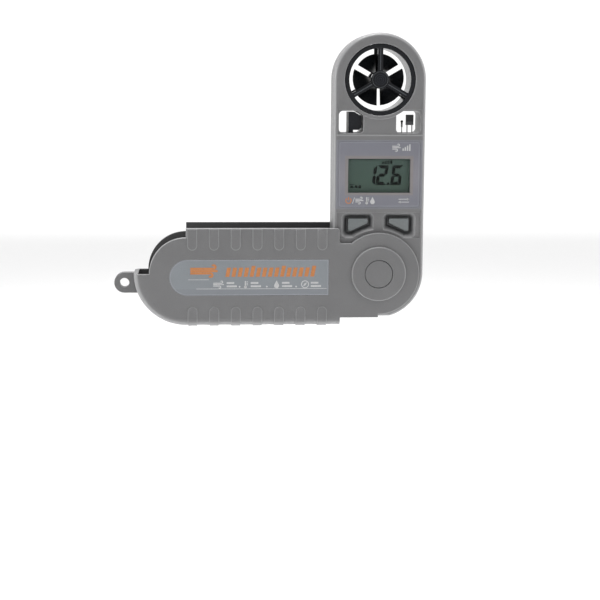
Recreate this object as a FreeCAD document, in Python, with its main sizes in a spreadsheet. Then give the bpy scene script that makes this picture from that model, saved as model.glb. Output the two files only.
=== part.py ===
"""Folding handheld weather meter: an instrument body that turns in a grey sheath like a pocket-knife blade.

Millimetres, +Z up, +X right, the display faces -Y. The origin is the mouth of the tripod socket in the
body's butt. The body stands upright and the sheath lies level to the left, half-way through its travel.
"""

import FreeCAD, Part
import math
import os
import re

import Sketcher
from FreeCAD import Placement, Rotation, Vector

DIMENSIONS = [
    # the fold and the instrument body
    ("pivot_height", 19.8, "pivot axis above the tripod seat"),
    ("case_radius", 20.6, "half width of the body and radius of both its ends"),
    ("head_height", 86.5, "impeller axis above the pivot axis"),
    ("half_depth", 8.5, "half of the body's depth"),
    ("case_wall", 1.6, "wall of both case halves"),
    ("case_round", 2.0, "rounding of the case's outer edges"),
    ("seal_inset", 0.4, "case seal in from the outer face"),
    ("seal_width", 0.8, "case seal, across"),
    ("seal_depth", 0.6, "case seal, deep"),
    ("boss_across", 15.8, "case screws from the centre plane"),
    ("boss_low", 30.8, "lower case screws above the pivot"),
    ("boss_high", 57.8, "upper case screws above the pivot"),
    ("boss_radius", 2.4, "screw boss"),
    ("screw_radius", 0.85, "case screw shank and its pilot hole"),
    ("screw_head", 1.8, "case screw head radius"),
    ("hub_radius", 6.6, "pivot tube inside the case"),
    # the impeller cartridge
    ("ring_radius", 15.75, "outside of the cartridge"),
    ("ring_gap", 0.1, "cartridge clearance in the case"),
    ("tunnel_radius", 13.8, "air tunnel"),
    ("tunnel_wall", 1.4, "case wall round the cartridge"),
    ("ring_half", 8.3, "half of the cartridge's depth"),
    ("spoke_width", 2.3, "bridge spokes"),
    ("spoke_front", 7.9, "front face of the bridge spokes"),
    ("spoke_back", 6.2, "back face of the bridge spokes"),
    ("bridge_radius", 4.0, "bearing hub of each bridge"),
    ("bridge_rim", 15.0, "rim of the rear bridge, let into the tube"),
    ("bridge_start", 6.9, "inner face of the rear bridge's rim"),
    ("bridge_inner", 5.0, "inner face of the bearing hubs"),
    ("jewel_radius", 1.5, "jewel bearing"),
    ("jewel_bore", 0.65, "jewel bearing's hole"),
    ("jewel_seat", 6.6, "bottom of the bearing seat"),
    ("pin_radius", 0.6, "impeller pin"),
    ("pin_half", 6.4, "half of the impeller pin"),
    ("rotor_radius", 11.5, "blade tips"),
    ("rotor_hub", 3.2, "impeller hub"),
    ("rotor_half", 4.4, "half of the impeller hub's length"),
    ("blade_root", 2.6, "where a blade starts, inside the hub"),
    ("blade_gap", 1.15, "half of the gap between two blades"),
    ("blade_reach", 2.7, "blade, half its depth along the axis"),
    ("blade_half", 0.35, "half of the blade's thickness"),
    ("blade_count", 6, "blades"),
    ("blade_turn", 29, "how far the impeller is turned at rest"),
    ("magnet_radius", 2.2, "rotor magnet"),
    ("magnet_start", 2.6, "inner face of the rotor magnet"),
    # the sensor windows
    ("window_inner", 7.4, "window edge near the centre"),
    ("window_outer", 18.3, "window edge near the side"),
    ("window_base", 62.9, "window sill above the pivot"),
    ("window_top", 72.7, "window top above the pivot"),
    ("window_wall", 1.2, "wall round each window"),
    ("window_round", 1.9, "corners of the windows"),
    ("window_arc", 17.3, "tunnel wall cutting the window's corner"),
    ("sill_band_base", 62.2, "foot of the recessed band between the windows"),
    ("sill_band_top", 73.4, "top of the recessed band between the windows"),
    ("sill_band_depth", 0.3, "depth of the band between the windows"),
    ("rim_bevel", 0.25, "bevel round the windows and the cartridge"),
    ("seam_bevel", 0.15, "bevel along the case and sheath seams"),
    ("header_inner", 9.2, "sensor header, inner edge"),
    ("header_outer", 17.2, "sensor header, outer edge"),
    ("header_half", 1.2, "half of the header's depth"),
    ("humidity_across", 14.5, "humidity sensor from the centre plane"),
    ("bead_across", 11.0, "thermistor from the centre plane"),
    # label, display and keys
    ("label_half", 18.5, "half of the face label's width"),
    ("label_base", 29.7, "foot of the face label"),
    ("label_top", 59.4, "top of the face label"),
    ("label_recess", 0.35, "depth of the label's recess"),
    ("label_thick", 0.3, "label thickness"),
    ("label_round", 1.0, "label corners"),
    ("display_half", 13.95, "half of the display opening's width"),
    ("display_base", 36.3, "foot of the display opening"),
    ("display_top", 51.5, "top of the display opening"),
    ("band_half", 18.9, "half width of the recessed key band"),
    ("band_base", 15.9, "foot of the key band"),
    ("band_top", 27.5, "top of the key band"),
    ("band_depth", 0.5, "depth of the key band"),
    ("well_inner", 2.1, "key well, inner side"),
    ("well_outer", 16.8, "key well, outer side"),
    ("well_base", 15.9, "key well, foot"),
    ("well_top", 27.2, "key well, top"),
    ("well_arc", 19.6, "arc of the key well's foot round the pivot"),
    ("well_round", 2.3, "corners of the key wells"),
    ("dish_margin", 0.7, "flat floor left round a key"),
    ("dish_round", 0.9, "corners of a well's floor"),
    ("well_floor", 5.6, "floor of the key wells"),
    ("well_back", 4.6, "back of the key wells' floor"),
    ("key_inner", 4.8, "key, inner side"),
    ("key_outer", 13.7, "key, outer side"),
    ("key_top", 24.7, "key, top"),
    ("key_low", 19.1, "key, lowest point"),
    ("key_step", 22.6, "key, foot of the inner side"),
    ("key_face", 7.5, "key's pressed face"),
    ("key_gap", 0.15, "clearance round a key"),
    ("key_travel", 0.6, "key travel"),
    ("switch_across", 10.2, "key switches from the centre plane"),
    ("switch_height", 22.4, "key switches above the pivot"),
    # electronics and battery
    ("board_front", 2.0, "front of the main board"),
    ("board_back", 1.0, "back of the main board"),
    ("board_half", 18.3, "half of the board's width"),
    ("board_base", 14.0, "foot of the main board"),
    ("board_top", 60.6, "top of the main board"),
    ("glass_front", 6.1, "front of the display glass"),
    ("glass_back", 4.7, "back of the display glass"),
    ("glass_half", 15.5, "half width of the display glass"),
    ("glass_base", 34.8, "foot of the display glass"),
    ("glass_top", 53.2, "top of the display glass"),
    ("cell_height", 44.0, "battery centre above the pivot"),
    ("cell_radius", 10.0, "coin cell radius"),
    ("cell_front", 3.0, "inner face of the cell"),
    ("cell_back", 6.2, "outer face of the cell"),
    ("door_radius", 11.4, "battery cover"),
    ("door_gap", 0.15, "clearance round the battery cover"),
    ("door_step", 7.4, "inside of the battery cover's rim"),
    ("door_plug", 10.35, "plug of the battery cover"),
    # tripod socket
    ("insert_radius", 4.2, "threaded insert, outside"),
    ("insert_bore", 3.3, "threaded insert, bore"),
    ("insert_length", 8.0, "threaded insert"),
    ("insert_depth", 7.5, "depth of the bore"),
    # pivot
    ("axle_radius", 4.0, "pivot axle"),
    ("axle_bore", 4.05, "holes on the axle"),
    ("axle_half", 10.55, "half of the axle's length"),
    ("cap_radius", 6.3, "pivot cap"),
    ("cap_bore", 6.45, "recess round the pivot cap"),
    ("cap_face", 12.3, "outer face of the pivot cap"),
    ("washer_inner", 4.2, "friction washer's hole"),
    ("washer_outer", 8.0, "friction washer"),
    ("washer_face", 8.86, "outer face of the friction washer"),
    ("stop_radius", 12.0, "fold stop from the pivot"),
    ("stop_size", 0.9, "radius of the stop lug"),
    ("stop_depth", 0.8, "depth of the stop groove"),
    # sheath
    ("plate_in", 8.9, "inner face of the sheath plates"),
    ("plate_out", 11.1, "outer face of the sheath plates"),
    ("disc_radius", 12.3, "raised pivot disc"),
    ("disc_face", 12.5, "outer face of the pivot disc"),
    ("disc_round", 0.8, "rounding of the pivot disc"),
    ("sheath_radius", 23.4, "outside of the sheath's closed edge"),
    ("sheath_wall", 2.0, "sheath edge wall"),
    ("sheath_round", 3.4, "rounding of the closed edge"),
    ("edge_round", 0.5, "rounding of the open edges"),
    ("lip_radius", 16.5, "cut-back end of the plates, for the thumb"),
    ("plate_top", 20.6, "open edge of the plates"),
    ("rear_rise", 0.9, "how much higher the rear plate's open edge is"),
    ("hinge_radius", 18.5, "plates round the pivot"),
    ("notch_across", 17.75, "key notch"),
    ("notch_floor", 13.8, "key notch"),
    ("notch_round", 1.2, "corners of the key notch"),
    ("foot_drop", 19.85, "foot of the plates under the pivot"),
    ("foot_across", 17.3, "end of the edge wall"),
    ("tab_across", 114.3, "lanyard hole from the pivot"),
    ("tab_drop", 4.8, "lanyard hole under the pivot"),
    ("tab_radius", 4.6, "lanyard tab"),
    ("tab_hole", 2.15, "lanyard hole"),
    ("tab_half", 2.0, "half of the tab's thickness"),
    ("inlay_left", 94.0, "sheath label, left end"),
    ("inlay_right", 22.5, "sheath label, right end"),
    ("inlay_centre", 1.5, "sheath label below the pivot"),
    ("inlay_half", 8.15, "half of the sheath label's height"),
    ("rib_count", 7, "grip ribs along each edge"),
    ("rib_first", 25.5, "first rib from the pivot"),
    ("rib_pitch", 9.7, "rib spacing"),
    ("rib_half", 2.0, "half of a rib's width"),
    ("rib_proud", 0.4, "height of the ribs"),
    ("rib_top_end", 11.0, "end of the upper ribs"),
    ("rib_low_end", 14.9, "end of the lower ribs"),
]

doc = FreeCAD.newDocument("weather_meter")
dims = doc.addObject("Spreadsheet::Sheet", "dims")
for row, (alias, size, note) in enumerate(DIMENSIONS, start=1):
    dims.set(f"A{row}", note)
    dims.set(f"B{row}", str(size))
    dims.setAlias(f"B{row}", alias)
doc.recompute()
ALIASES = {alias for alias, _, _ in DIMENSIONS}
NEAR = 1e-4
parts = []


def bound(text):
    """An expression for FreeCAD, with each sheet name in it made a reference to the sheet."""
    return re.sub(r"[a-z]\w*", lambda m: f"dims.{m[0]}" if m[0] in ALIASES else m[0], str(text))


def value(text):
    """What an expression is worth now."""
    return float(dims.evalExpression(bound(text)))


# Sketches ---------------------------------------------------------------------------------------------


def pin_point(sketch, geometry, vertex, across, up):
    """Ties one vertex of the sketch to the sheet."""
    for kind, text in (("DistanceX", across), ("DistanceY", up)):
        index = sketch.addConstraint(Sketcher.Constraint(kind, -1, 1, geometry, vertex, value(text)))
        sketch.setExpression(f"Constraints[{index}]", bound(text))


def set_radius(sketch, geometry, radius):
    index = sketch.addConstraint(Sketcher.Constraint("Radius", geometry, value(radius)))
    sketch.setExpression(f"Constraints[{index}]", bound(radius))


def circle(across, up, radius):
    def draw(sketch):
        centre = Vector(value(across), value(up), 0)
        index = sketch.addGeometry(Part.Circle(centre, Vector(0, 0, 1), value(radius)), False)
        pin_point(sketch, index, 3, across, up)
        set_radius(sketch, index, radius)

    return draw


def outline(*corners):
    """A closed outline. A corner is (across, up), reached by a line, or (across, up, radius), reached by
    an arc of under a half turn: anticlockwise, or clockwise where the radius starts with a minus sign."""

    def draw(sketch):
        places = [Vector(value(c[0]), value(c[1]), 0) for c in corners]
        ends = []
        for i, corner in enumerate(corners):
            start, end = places[i - 1], places[i]
            if len(corner) == 2:
                index = sketch.addGeometry(Part.LineSegment(start, end), False)
                ends.append((index, 1, 2))
                continue
            turn = -1 if corner[2].startswith("-") else 1
            radius = abs(value(corner[2]))
            half = (end - start) * 0.5
            side = Vector(-half.y, half.x, 0).normalize()
            rise = math.sqrt(max(radius**2 - half.Length**2, 0))
            centre = start + half + side * rise * turn
            angles = [math.atan2(p.y - centre.y, p.x - centre.x) for p in (start, end)][::turn]
            arc = Part.ArcOfCircle(Part.Circle(centre, Vector(0, 0, 1), radius), *angles)
            index = sketch.addGeometry(arc, False)
            ends.append((index, 1, 2) if turn == 1 else (index, 2, 1))
            set_radius(sketch, index, corner[2].lstrip("-"))
        for i, corner in enumerate(corners):
            index, _, last = ends[i]
            after, first, _ = ends[(i + 1) % len(ends)]
            sketch.addConstraint(Sketcher.Constraint("Coincident", index, last, after, first))
            pin_point(sketch, index, last, corner[0], corner[1])

    return draw


def rectangle(left, right, low, high):
    return outline((left, low), (right, low), (right, high), (left, high))


def case_outline(inset="0"):
    """The body seen from the front: a long round-ended shape with a flat on its butt."""
    radius = f"(case_radius - {inset})"
    base = f"({inset})"
    flat = f"sqrt({radius}^2 - (pivot_height - {inset})^2)"
    top = "pivot_height + head_height"
    return outline(
        (f"-{flat}", base, radius),
        (flat, base),
        (radius, "pivot_height", radius),
        (radius, top),
        ("0", f"{top} + {radius}", radius),
        (f"-{radius}", top, radius),
        (f"-{radius}", "pivot_height"),
    )


def up(text):
    """A height above the pivot axis, as a height above the tripod seat."""
    return f"pivot_height + ({text})"


# Features ---------------------------------------------------------------------------------------------

NORMAL_SIGN = {"XY": 1, "XZ": -1, "YZ": 1}


def new_body(label):
    body = doc.addObject("PartDesign::Body", label)
    body.Label = label
    parts.append(body)
    return body


def sketch_on(body, plane, level, shapes):
    """A sketch parallel to one of the body's origin planes. level is its place along the third axis."""
    sketch = body.newObject("Sketcher::SketchObject", "Sketch")
    origin = next(o for o in body.Origin.OriginFeatures if o.Role == f"{plane}_Plane")
    sketch.AttachmentSupport = [(origin, "")]
    sketch.MapMode = "FlatFace"
    sign = "-" if NORMAL_SIGN[plane] < 0 else ""
    sketch.setExpression("AttachmentOffset.Base.z", bound(f"{sign}({level})"))
    for shape in shapes:
        shape(sketch)
    return sketch


def pad(body, plane, low, high, *shapes):
    """Adds the shapes between two levels of the plane's third axis."""
    sketch = sketch_on(body, plane, high if plane == "XZ" else low, shapes)
    feature = body.newObject("PartDesign::Pad", "Pad")
    feature.Profile = sketch
    feature.setExpression("Length", bound(f"({high}) - ({low})"))
    doc.recompute()
    return feature


def pocket(body, plane, low, high, *shapes):
    """Cuts the shapes between two levels of the plane's third axis, and checks that it did cut."""
    before = body.Shape.Volume
    sketch = sketch_on(body, plane, low if plane == "XZ" else high, shapes)
    feature = body.newObject("PartDesign::Pocket", "Pocket")
    feature.Profile = sketch
    feature.setExpression("Length", bound(f"({high}) - ({low})"))
    doc.recompute()
    if body.Shape.Volume > before - NEAR:
        raise RuntimeError(f"{feature.Name} of {body.Label} cut nothing")
    return feature


def dished(body, rim_level, rim, floor_level, floor):
    """Cuts a hollow with sloping walls, from its outline at the rim down to its outline at the floor."""
    sketches = [sketch_on(body, "XZ", rim_level, [rim]), sketch_on(body, "XZ", floor_level, [floor])]
    doc.recompute()
    feature = body.newObject("PartDesign::SubtractiveLoft", "Dish")
    feature.Profile = sketches[0]
    feature.Sections = sketches[1:]
    feature.Ruled = True
    doc.recompute()
    return feature


def turned(body, height, *shapes):
    """Adds half sections turned round a front-to-back axis. They are drawn as (depth, radius)."""
    sketch = sketch_on(body, "YZ", "0", shapes)
    sketch.setExpression("AttachmentOffset.Base.y", bound(height))
    feature = body.newObject("PartDesign::Revolution", "Revolution")
    feature.Profile = sketch
    feature.ReferenceAxis = (sketch, ["H_Axis"])
    feature.Angle = 360
    doc.recompute()
    return feature


def polar(body, feature, count, axis_role="Y_Axis"):
    """Repeats a feature round an axis of the body's origin."""
    pattern = body.newObject("PartDesign::PolarPattern", "PolarPattern")
    pattern.Originals = [feature]
    pattern.Axis = (next(o for o in body.Origin.OriginFeatures if o.Role == axis_role), [""])
    pattern.Angle = 360
    pattern.setExpression("Occurrences", bound(count))
    body.Tip = pattern
    doc.recompute()
    return pattern


def edges(shape, test):
    return [f"Edge{i}" for i, edge in enumerate(shape.Edges, start=1) if test(edge)]


def on_level(axis, level):
    """A test for edges that lie wholly at one level of an axis, such as on_level("Y", "-half_depth")."""
    place = value(level)
    return lambda edge: (
        abs(getattr(edge.BoundBox, f"{axis}Min") - place) < NEAR
        and abs(getattr(edge.BoundBox, f"{axis}Max") - place) < NEAR
    )


def along_depth(*places):
    """A test for straight edges that run front to back through one of the (across, up) places."""
    points = [(value(a), value(b)) for a, b in places]
    return lambda edge: any(
        abs(v.X - a) < NEAR and abs(v.Z - b) < NEAR for a, b in points for v in edge.Vertexes[:1]
    ) and edge.BoundBox.XLength + edge.BoundBox.ZLength < NEAR


def soften(body, kind, size, test):
    """Rounds (Fillet) or bevels (Chamfer) the edges that pass the test."""
    names = edges(body.Tip.Shape, test)
    if not names:
        raise RuntimeError(f"{body.Label}: no edge passes the test")
    base = body.Tip
    feature = body.newObject(f"PartDesign::{kind}", kind)
    feature.Base = (base, names)
    feature.setExpression("Radius" if kind == "Fillet" else "Size", bound(size))
    doc.recompute()
    return feature


# Part primitives --------------------------------------------------------------------------------------

TURNS = {"X": Rotation(Vector(0, 1, 0), 90), "Y": Rotation(Vector(1, 0, 0), -90), "Z": Rotation()}


def place_at(piece, x, y, z):
    for axis, text in zip("xyz", (x, y, z)):
        piece.setExpression(f"Placement.Base.{axis}", bound(text))


def block(left, right, front, back, low, high):
    piece = doc.addObject("Part::Box", "Box")
    for name, start, end in (("Length", left, right), ("Width", front, back), ("Height", low, high)):
        piece.setExpression(name, bound(f"({end}) - ({start})"))
    place_at(piece, left, front, low)
    return piece


def rod(axis, radius, start, end, x="0", y="0", z="0"):
    """A cylinder along an axis, between two levels of it. The other two places are its centre."""
    piece = doc.addObject("Part::Cylinder", "Cylinder")
    piece.Placement = Placement(Vector(), TURNS[axis])
    piece.setExpression("Radius", bound(radius))
    piece.setExpression("Height", bound(f"({end}) - ({start})"))
    centre = {"X": x, "Y": y, "Z": z, axis: start}
    place_at(piece, centre["X"], centre["Y"], centre["Z"])
    return piece


def torus(axis, major, minor, x, y, z):
    piece = doc.addObject("Part::Torus", "Torus")
    piece.Placement = Placement(Vector(), TURNS[axis])
    piece.setExpression("Radius1", bound(major))
    piece.setExpression("Radius2", bound(minor))
    place_at(piece, x, y, z)
    return piece


def fuse(*pieces):
    joined = doc.addObject("Part::MultiFuse", "Fusion")
    joined.Shapes = list(pieces)
    return joined


def group(*pieces):
    kept = doc.addObject("Part::Compound", "Group")
    kept.Links = list(pieces)
    return kept


def cut(base, *tools):
    left = doc.addObject("Part::Cut", "Cut")
    left.Base = base
    left.Tool = tools[0] if len(tools) == 1 else fuse(*tools)
    return left


def common(*pieces):
    shared = doc.addObject("Part::MultiCommon", "Common")
    shared.Shapes = list(pieces)
    return shared


def rounded(base, radius, test):
    """A Part::Fillet on the edges that pass the test."""
    doc.recompute()
    chosen = [i for i, edge in enumerate(base.Shape.Edges, start=1) if test(edge)]
    if not chosen:
        raise RuntimeError(f"{base.Name}: no edge passes the test")
    piece = doc.addObject("Part::Fillet", "Fillet")
    piece.Base = base
    piece.Edges = [(i, value(radius), value(radius)) for i in chosen]
    return piece


def keep(piece, label):
    """Names a finished piece, so that it becomes one of the object's parts."""
    piece.Label = label
    parts.append(piece)
    return piece


def within(left, right, low, high):
    """A test for edges that lie inside a rectangle seen from the front."""
    x0, x1, z0, z1 = (value(text) for text in (left, right, low, high))

    def inside(edge):
        box = edge.BoundBox
        return x0 < box.XMin and box.XMax < x1 and z0 < box.ZMin and box.ZMax < z1

    return inside


# The instrument body ----------------------------------------------------------------------------------

HEAD = up("head_height")
SCREWS = [(side + "boss_across", up(level)) for side in ("-", "") for level in ("boss_low", "boss_high")]


def window(side, grow="0"):
    """Outline of a sensor window. The tunnel wall cuts the corner nearest to the impeller."""
    inner, outer = f"(window_inner - {grow})", f"(window_outer + {grow})"
    base, top = f"(window_base - {grow})", f"(window_top + {grow})"
    if grow != "0":
        return rectangle(*sorted((side + inner, side + outer), key=value), up(base), up(top))
    meet_across = "sqrt(window_arc^2 - (head_height - window_top)^2)"
    meet_up = "head_height - sqrt(window_arc^2 - window_inner^2)"
    turn = "-window_arc" if side == "" else "window_arc"
    return outline(
        (side + inner, up(base)),
        (side + outer, up(base)),
        (side + outer, up(top)),
        (side + meet_across, up(top)),
        (side + inner, up(meet_up), turn),
    )


def sill_band():
    """Outline of the recessed band that joins the windows. The cartridge's collar stands out of it."""
    meet = "sqrt(window_arc^2 - (head_height - sill_band_top)^2)"
    return outline(
        ("-band_half", up("sill_band_base")),
        ("band_half", up("sill_band_base")),
        ("band_half", up("sill_band_top")),
        (meet, up("sill_band_top")),
        ("-" + meet, up("sill_band_top"), "-window_arc"),
        ("-band_half", up("sill_band_top")),
    )


def window_corners():
    return [
        (side + across, up(level))
        for side in ("", "-")
        for across, level in (
            ("window_inner", "window_base"),
            ("window_outer", "window_base"),
            ("window_outer", "window_top"),
        )
    ]


def well(side, grow="0"):
    """Outline of a key well at its rim. Its foot follows an arc round the pivot."""
    inner, outer = f"(well_inner - {grow})", f"(well_outer + {grow})"
    base, top = f"(well_base - {grow})", f"(well_top + {grow})"
    arc, bend = f"(well_arc - {grow})", f"(well_round + {grow})"
    foot = (
        (side + inner, up(f"sqrt({arc}^2 - {inner}^2)")),
        (side + f"sqrt({arc}^2 - {base}^2)", up(base), arc if side == "-" else "-" + arc),
    )
    return round_cornered(side, inner, outer, base, top, bend, foot)


def well_floor(side):
    """Outline of a key well's floor: the key's own outline, a little larger all round."""
    inner, outer = "(key_inner - dish_margin)", "(key_outer + dish_margin)"
    base, top = "(key_low - dish_margin)", "(key_top + dish_margin)"
    foot = (
        (side + inner, up("key_step - dish_margin")),
        (f"{side}(key_outer - 1.4)", up(base)),
    )
    return round_cornered(side, inner, outer, base, top, "dish_round", foot)


def round_cornered(side, inner, outer, base, top, bend, foot):
    """Three round corners, and a foot given by its own two corners."""
    turn = bend if side == "" else "-" + bend
    return outline(
        (f"{side}({outer} - {bend})", up(base)),
        (side + outer, up(f"{base} + {bend}"), turn),
        (side + outer, up(f"{top} - {bend}")),
        (f"{side}({outer} - {bend})", up(top), turn),
        (f"{side}({inner} + {bend})", up(top)),
        (side + inner, up(f"{top} - {bend}"), turn),
        *foot,
    )


def key(side, grow="0"):
    """Outline of a key: a square outer side and a foot that slopes up towards the middle."""
    inner, outer = f"(key_inner - {grow})", f"(key_outer + {grow})"
    return outline(
        (side + outer, up(f"key_low - {grow}")),
        (side + outer, up(f"key_top + {grow}")),
        (side + inner, up(f"key_top + {grow}")),
        (side + inner, up(f"key_step - {grow}")),
        (f"{side}(key_outer - 1.4)", up(f"key_low - {grow}")),
    )


def case_half(label, front, back, outer):
    """What both halves of the case share. outer is the level of the outer face, front < back."""
    body = new_body(label)
    inner_face = "-(half_depth - case_wall)" if outer == front else "half_depth - case_wall"
    cavity = (inner_face, back) if outer == front else (front, inner_face)
    near = "-(half_depth - 1)" if outer == front else "half_depth - 1"
    inside = (near, back) if outer == front else (front, near)
    pad(body, "XZ", front, back, case_outline())
    soften(body, "Fillet", "case_round", on_level("Y", outer))
    pocket(body, "XZ", *cavity, case_outline("case_wall"))
    pad(body, "XZ", *inside, circle("0", HEAD, "ring_radius + ring_gap + tunnel_wall"))
    for side in ("", "-"):
        pad(body, "XZ", *inside, window(side, "window_wall"))
    pad(body, "XZ", *inside, circle("0", "pivot_height", "hub_radius"))
    seat_half = "insert_radius + 1.3"
    socket_walls = rectangle(f"-({seat_half})", seat_half, "0.8", "insert_length + 1")
    pad(body, "XZ", *inside, socket_walls)
    pad(body, "XZ", *inside, *(circle(x, z, "boss_radius") for x, z in SCREWS))
    return body


def case_openings(body, front, back):
    """The holes that run through both halves of the case."""
    pocket(body, "XZ", front, back, circle("0", HEAD, "ring_radius + ring_gap"))
    pocket(body, "XZ", front, back, window(""), window("-"))
    soften(body, "Fillet", "window_round", along_depth(*window_corners()))
    pocket(body, "XZ", front, back, circle("0", "pivot_height", "axle_bore"))
    pocket(body, "XY", "0", "insert_length", circle("0", "0", "insert_radius"))
    header_front, header_back = sorted((front, back), key=value)
    header_front = header_front if value(header_front) == 0 else "-header_half"
    header_back = header_back if value(header_back) == 0 else "header_half"
    sill = (up("window_base - window_wall"), up("window_base"))
    for side in ("", "-"):
        across = sorted((side + "header_inner", side + "header_outer"), key=value)
        pocket(body, "XY", *sill, rectangle(*across, header_front, header_back))


def bevel_rims(body, outer, band):
    """Bevels the outside edges of the windows, at the band's level, and of the cartridge's seat."""
    on_face, on_band = on_level("Y", outer), on_level("Y", band)
    in_head = within("-(ring_radius + 1)", "ring_radius + 1", up("head_height - ring_radius - 1"),
                     up("head_height + ring_radius + 1"))
    in_windows = within("-(window_outer + 0.2)", "window_outer + 0.2", up("window_base - 0.2"),
                        up("window_top + 0.2"))
    seat = value("ring_radius + ring_gap")

    def rim(edge):
        round_seat = hasattr(edge.Curve, "Radius") and abs(edge.Curve.Radius - seat) < NEAR
        return (on_face(edge) and in_head(edge) and round_seat) or (on_band(edge) and in_windows(edge))

    soften(body, "Chamfer", "rim_bevel", rim)


def bevel_seam(body, radius):
    """Bevels a half's outside edge where it meets the other half."""
    on_seam = on_level("Y", "0")
    reach = value(radius)

    def seam(edge):
        box = edge.BoundBox
        if hasattr(edge.Curve, "Radius"):
            return on_seam(edge) and abs(edge.Curve.Radius - reach) < NEAR
        flat_side = box.XLength < NEAR and abs(abs(box.XMin) - reach) < NEAR
        return on_seam(edge) and (flat_side or abs(box.ZMin - value(up(f"-{radius}"))) < NEAR)

    soften(body, "Chamfer", "seam_bevel", seam)


def stop_groove(body, level_low, level_high):
    """Half-ring that the sheath's stop lug runs in, so that the fold ends at both limits."""
    inner, outer = "(stop_radius - stop_size - 0.15)", "(stop_radius + stop_size + 0.15)"
    over = "(stop_size + 0.1)"
    inner_end, outer_end = (f"sqrt({radius}^2 - {over}^2)" for radius in (inner, outer))
    ring = outline(
        (over, up(outer_end)),
        (f"-{outer}", up("0"), outer),
        (over, up(f"-{outer_end}"), outer),
        (over, up(f"-{inner_end}")),
        (f"-{inner}", up("0"), "-" + inner),
        (over, up(inner_end), "-" + inner),
    )
    pocket(body, "XZ", level_low, level_high, ring)


def front_case():
    body = case_half("front_case", "-half_depth", "0", "-half_depth")
    pad(body, "XZ", "-(half_depth - 1)", "-well_back", well("", "window_wall"), well("-", "window_wall"))
    case_openings(body, "-half_depth", "0")
    pocket(body, "XZ", "-half_depth", "-(half_depth - sill_band_depth)", sill_band())
    display = rectangle("-display_half", "display_half", up("display_base"), up("display_top"))
    pocket(body, "XZ", "-half_depth", "-(half_depth - case_wall)", display)
    label = rectangle("-label_half", "label_half", up("label_base"), up("label_top"))
    pocket(body, "XZ", "-half_depth", "-(half_depth - label_recess)", label)
    corners = [(x, up(z)) for x in ("-label_half", "label_half") for z in ("label_base", "label_top")]
    soften(body, "Fillet", "label_round", along_depth(*corners))
    band = rectangle("-band_half", "band_half", up("band_base"), up("band_top"))
    pocket(body, "XZ", "-half_depth", "-(half_depth - band_depth)", band)
    for side in ("", "-"):
        dished(body, "-(half_depth - band_depth)", well(side), "-well_floor", well_floor(side))
    pocket(body, "XZ", "-well_floor", "-well_back", key("", "key_gap"), key("-", "key_gap"))
    pocket(body, "XZ", "-5", "0", *(circle(x, z, "screw_radius") for x, z in SCREWS))
    seal = case_outline("seal_inset"), case_outline("(seal_inset + seal_width)")
    pocket(body, "XZ", "-seal_depth", "0", *seal)
    stop_groove(body, "-half_depth", "-(half_depth - stop_depth)")
    bevel_rims(body, "-half_depth", "-(half_depth - sill_band_depth)")
    bevel_seam(body, "case_radius")


def rear_case():
    body = case_half("rear_case", "0", "half_depth", "half_depth")
    cell = ("0", up("cell_height"))
    pad(body, "XZ", "cell_front - 0.9", "half_depth - 1", circle(*cell, "door_radius + door_gap + 1.3"))
    case_openings(body, "0", "half_depth")
    pocket(body, "XZ", "cell_front", "half_depth", circle(*cell, "door_radius + door_gap"))
    pocket(body, "XZ", "cell_front - 0.9", "cell_front", circle(*cell, "5"))
    pocket(body, "XZ", "0", "half_depth", *(circle(x, z, "screw_radius + 0.25") for x, z in SCREWS))
    pocket(body, "XZ", "5.5", "half_depth", *(circle(x, z, "screw_head + 0.2") for x, z in SCREWS))
    bevel_rims(body, "half_depth", "half_depth")
    bevel_seam(body, "case_radius")


def case_fittings():
    seal = new_body("case_seal")
    ring = case_outline("seal_inset"), case_outline("(seal_inset + seal_width)")
    pad(seal, "XZ", "-seal_depth", "0", *ring)
    pocket(seal, "XY", "-1", "insert_length", circle("0", "0", "insert_radius"))
    screws = new_body("case_screws")
    pad(screws, "XZ", "-4.6", "5.5", *(circle(x, z, "screw_radius") for x, z in SCREWS))
    pad(screws, "XZ", "5.5", "6.8", *(circle(x, z, "screw_head") for x, z in SCREWS))
    cross = []
    for x, z in SCREWS:
        cross.append(rectangle(f"{x} - 1.1", f"{x} + 1.1", f"{z} - 0.22", f"{z} + 0.22"))
    pocket(screws, "XZ", "6.1", "6.8", *cross)
    upright = []
    for x, z in SCREWS:
        upright.append(rectangle(f"{x} - 0.22", f"{x} + 0.22", f"{z} - 1.1", f"{z} + 1.1"))
    pocket(screws, "XZ", "6.1", "6.8", *upright)
    insert = new_body("tripod_insert")
    pad(insert, "XY", "0", "insert_length", circle("0", "0", "insert_radius"))
    pocket(insert, "XY", "0", "insert_depth", circle("0", "0", "insert_bore"))


def face_label():
    body = new_body("face_label")
    back = "-(half_depth - label_recess)"
    front = f"({back}) - label_thick"
    trim = "(label_half - 0.1)"
    pad(
        body,
        "XZ",
        front,
        back,
        rectangle(f"-{trim}", trim, up("label_base + 0.1"), up("label_top - 0.1")),
        rectangle("-display_half", "display_half", up("display_base"), up("display_top")),
    )
    corners = [(s + trim, up(z)) for s in ("-", "") for z in ("label_base + 0.1", "label_top - 0.1")]
    soften(body, "Fillet", "label_round - 0.1", along_depth(*corners))


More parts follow.
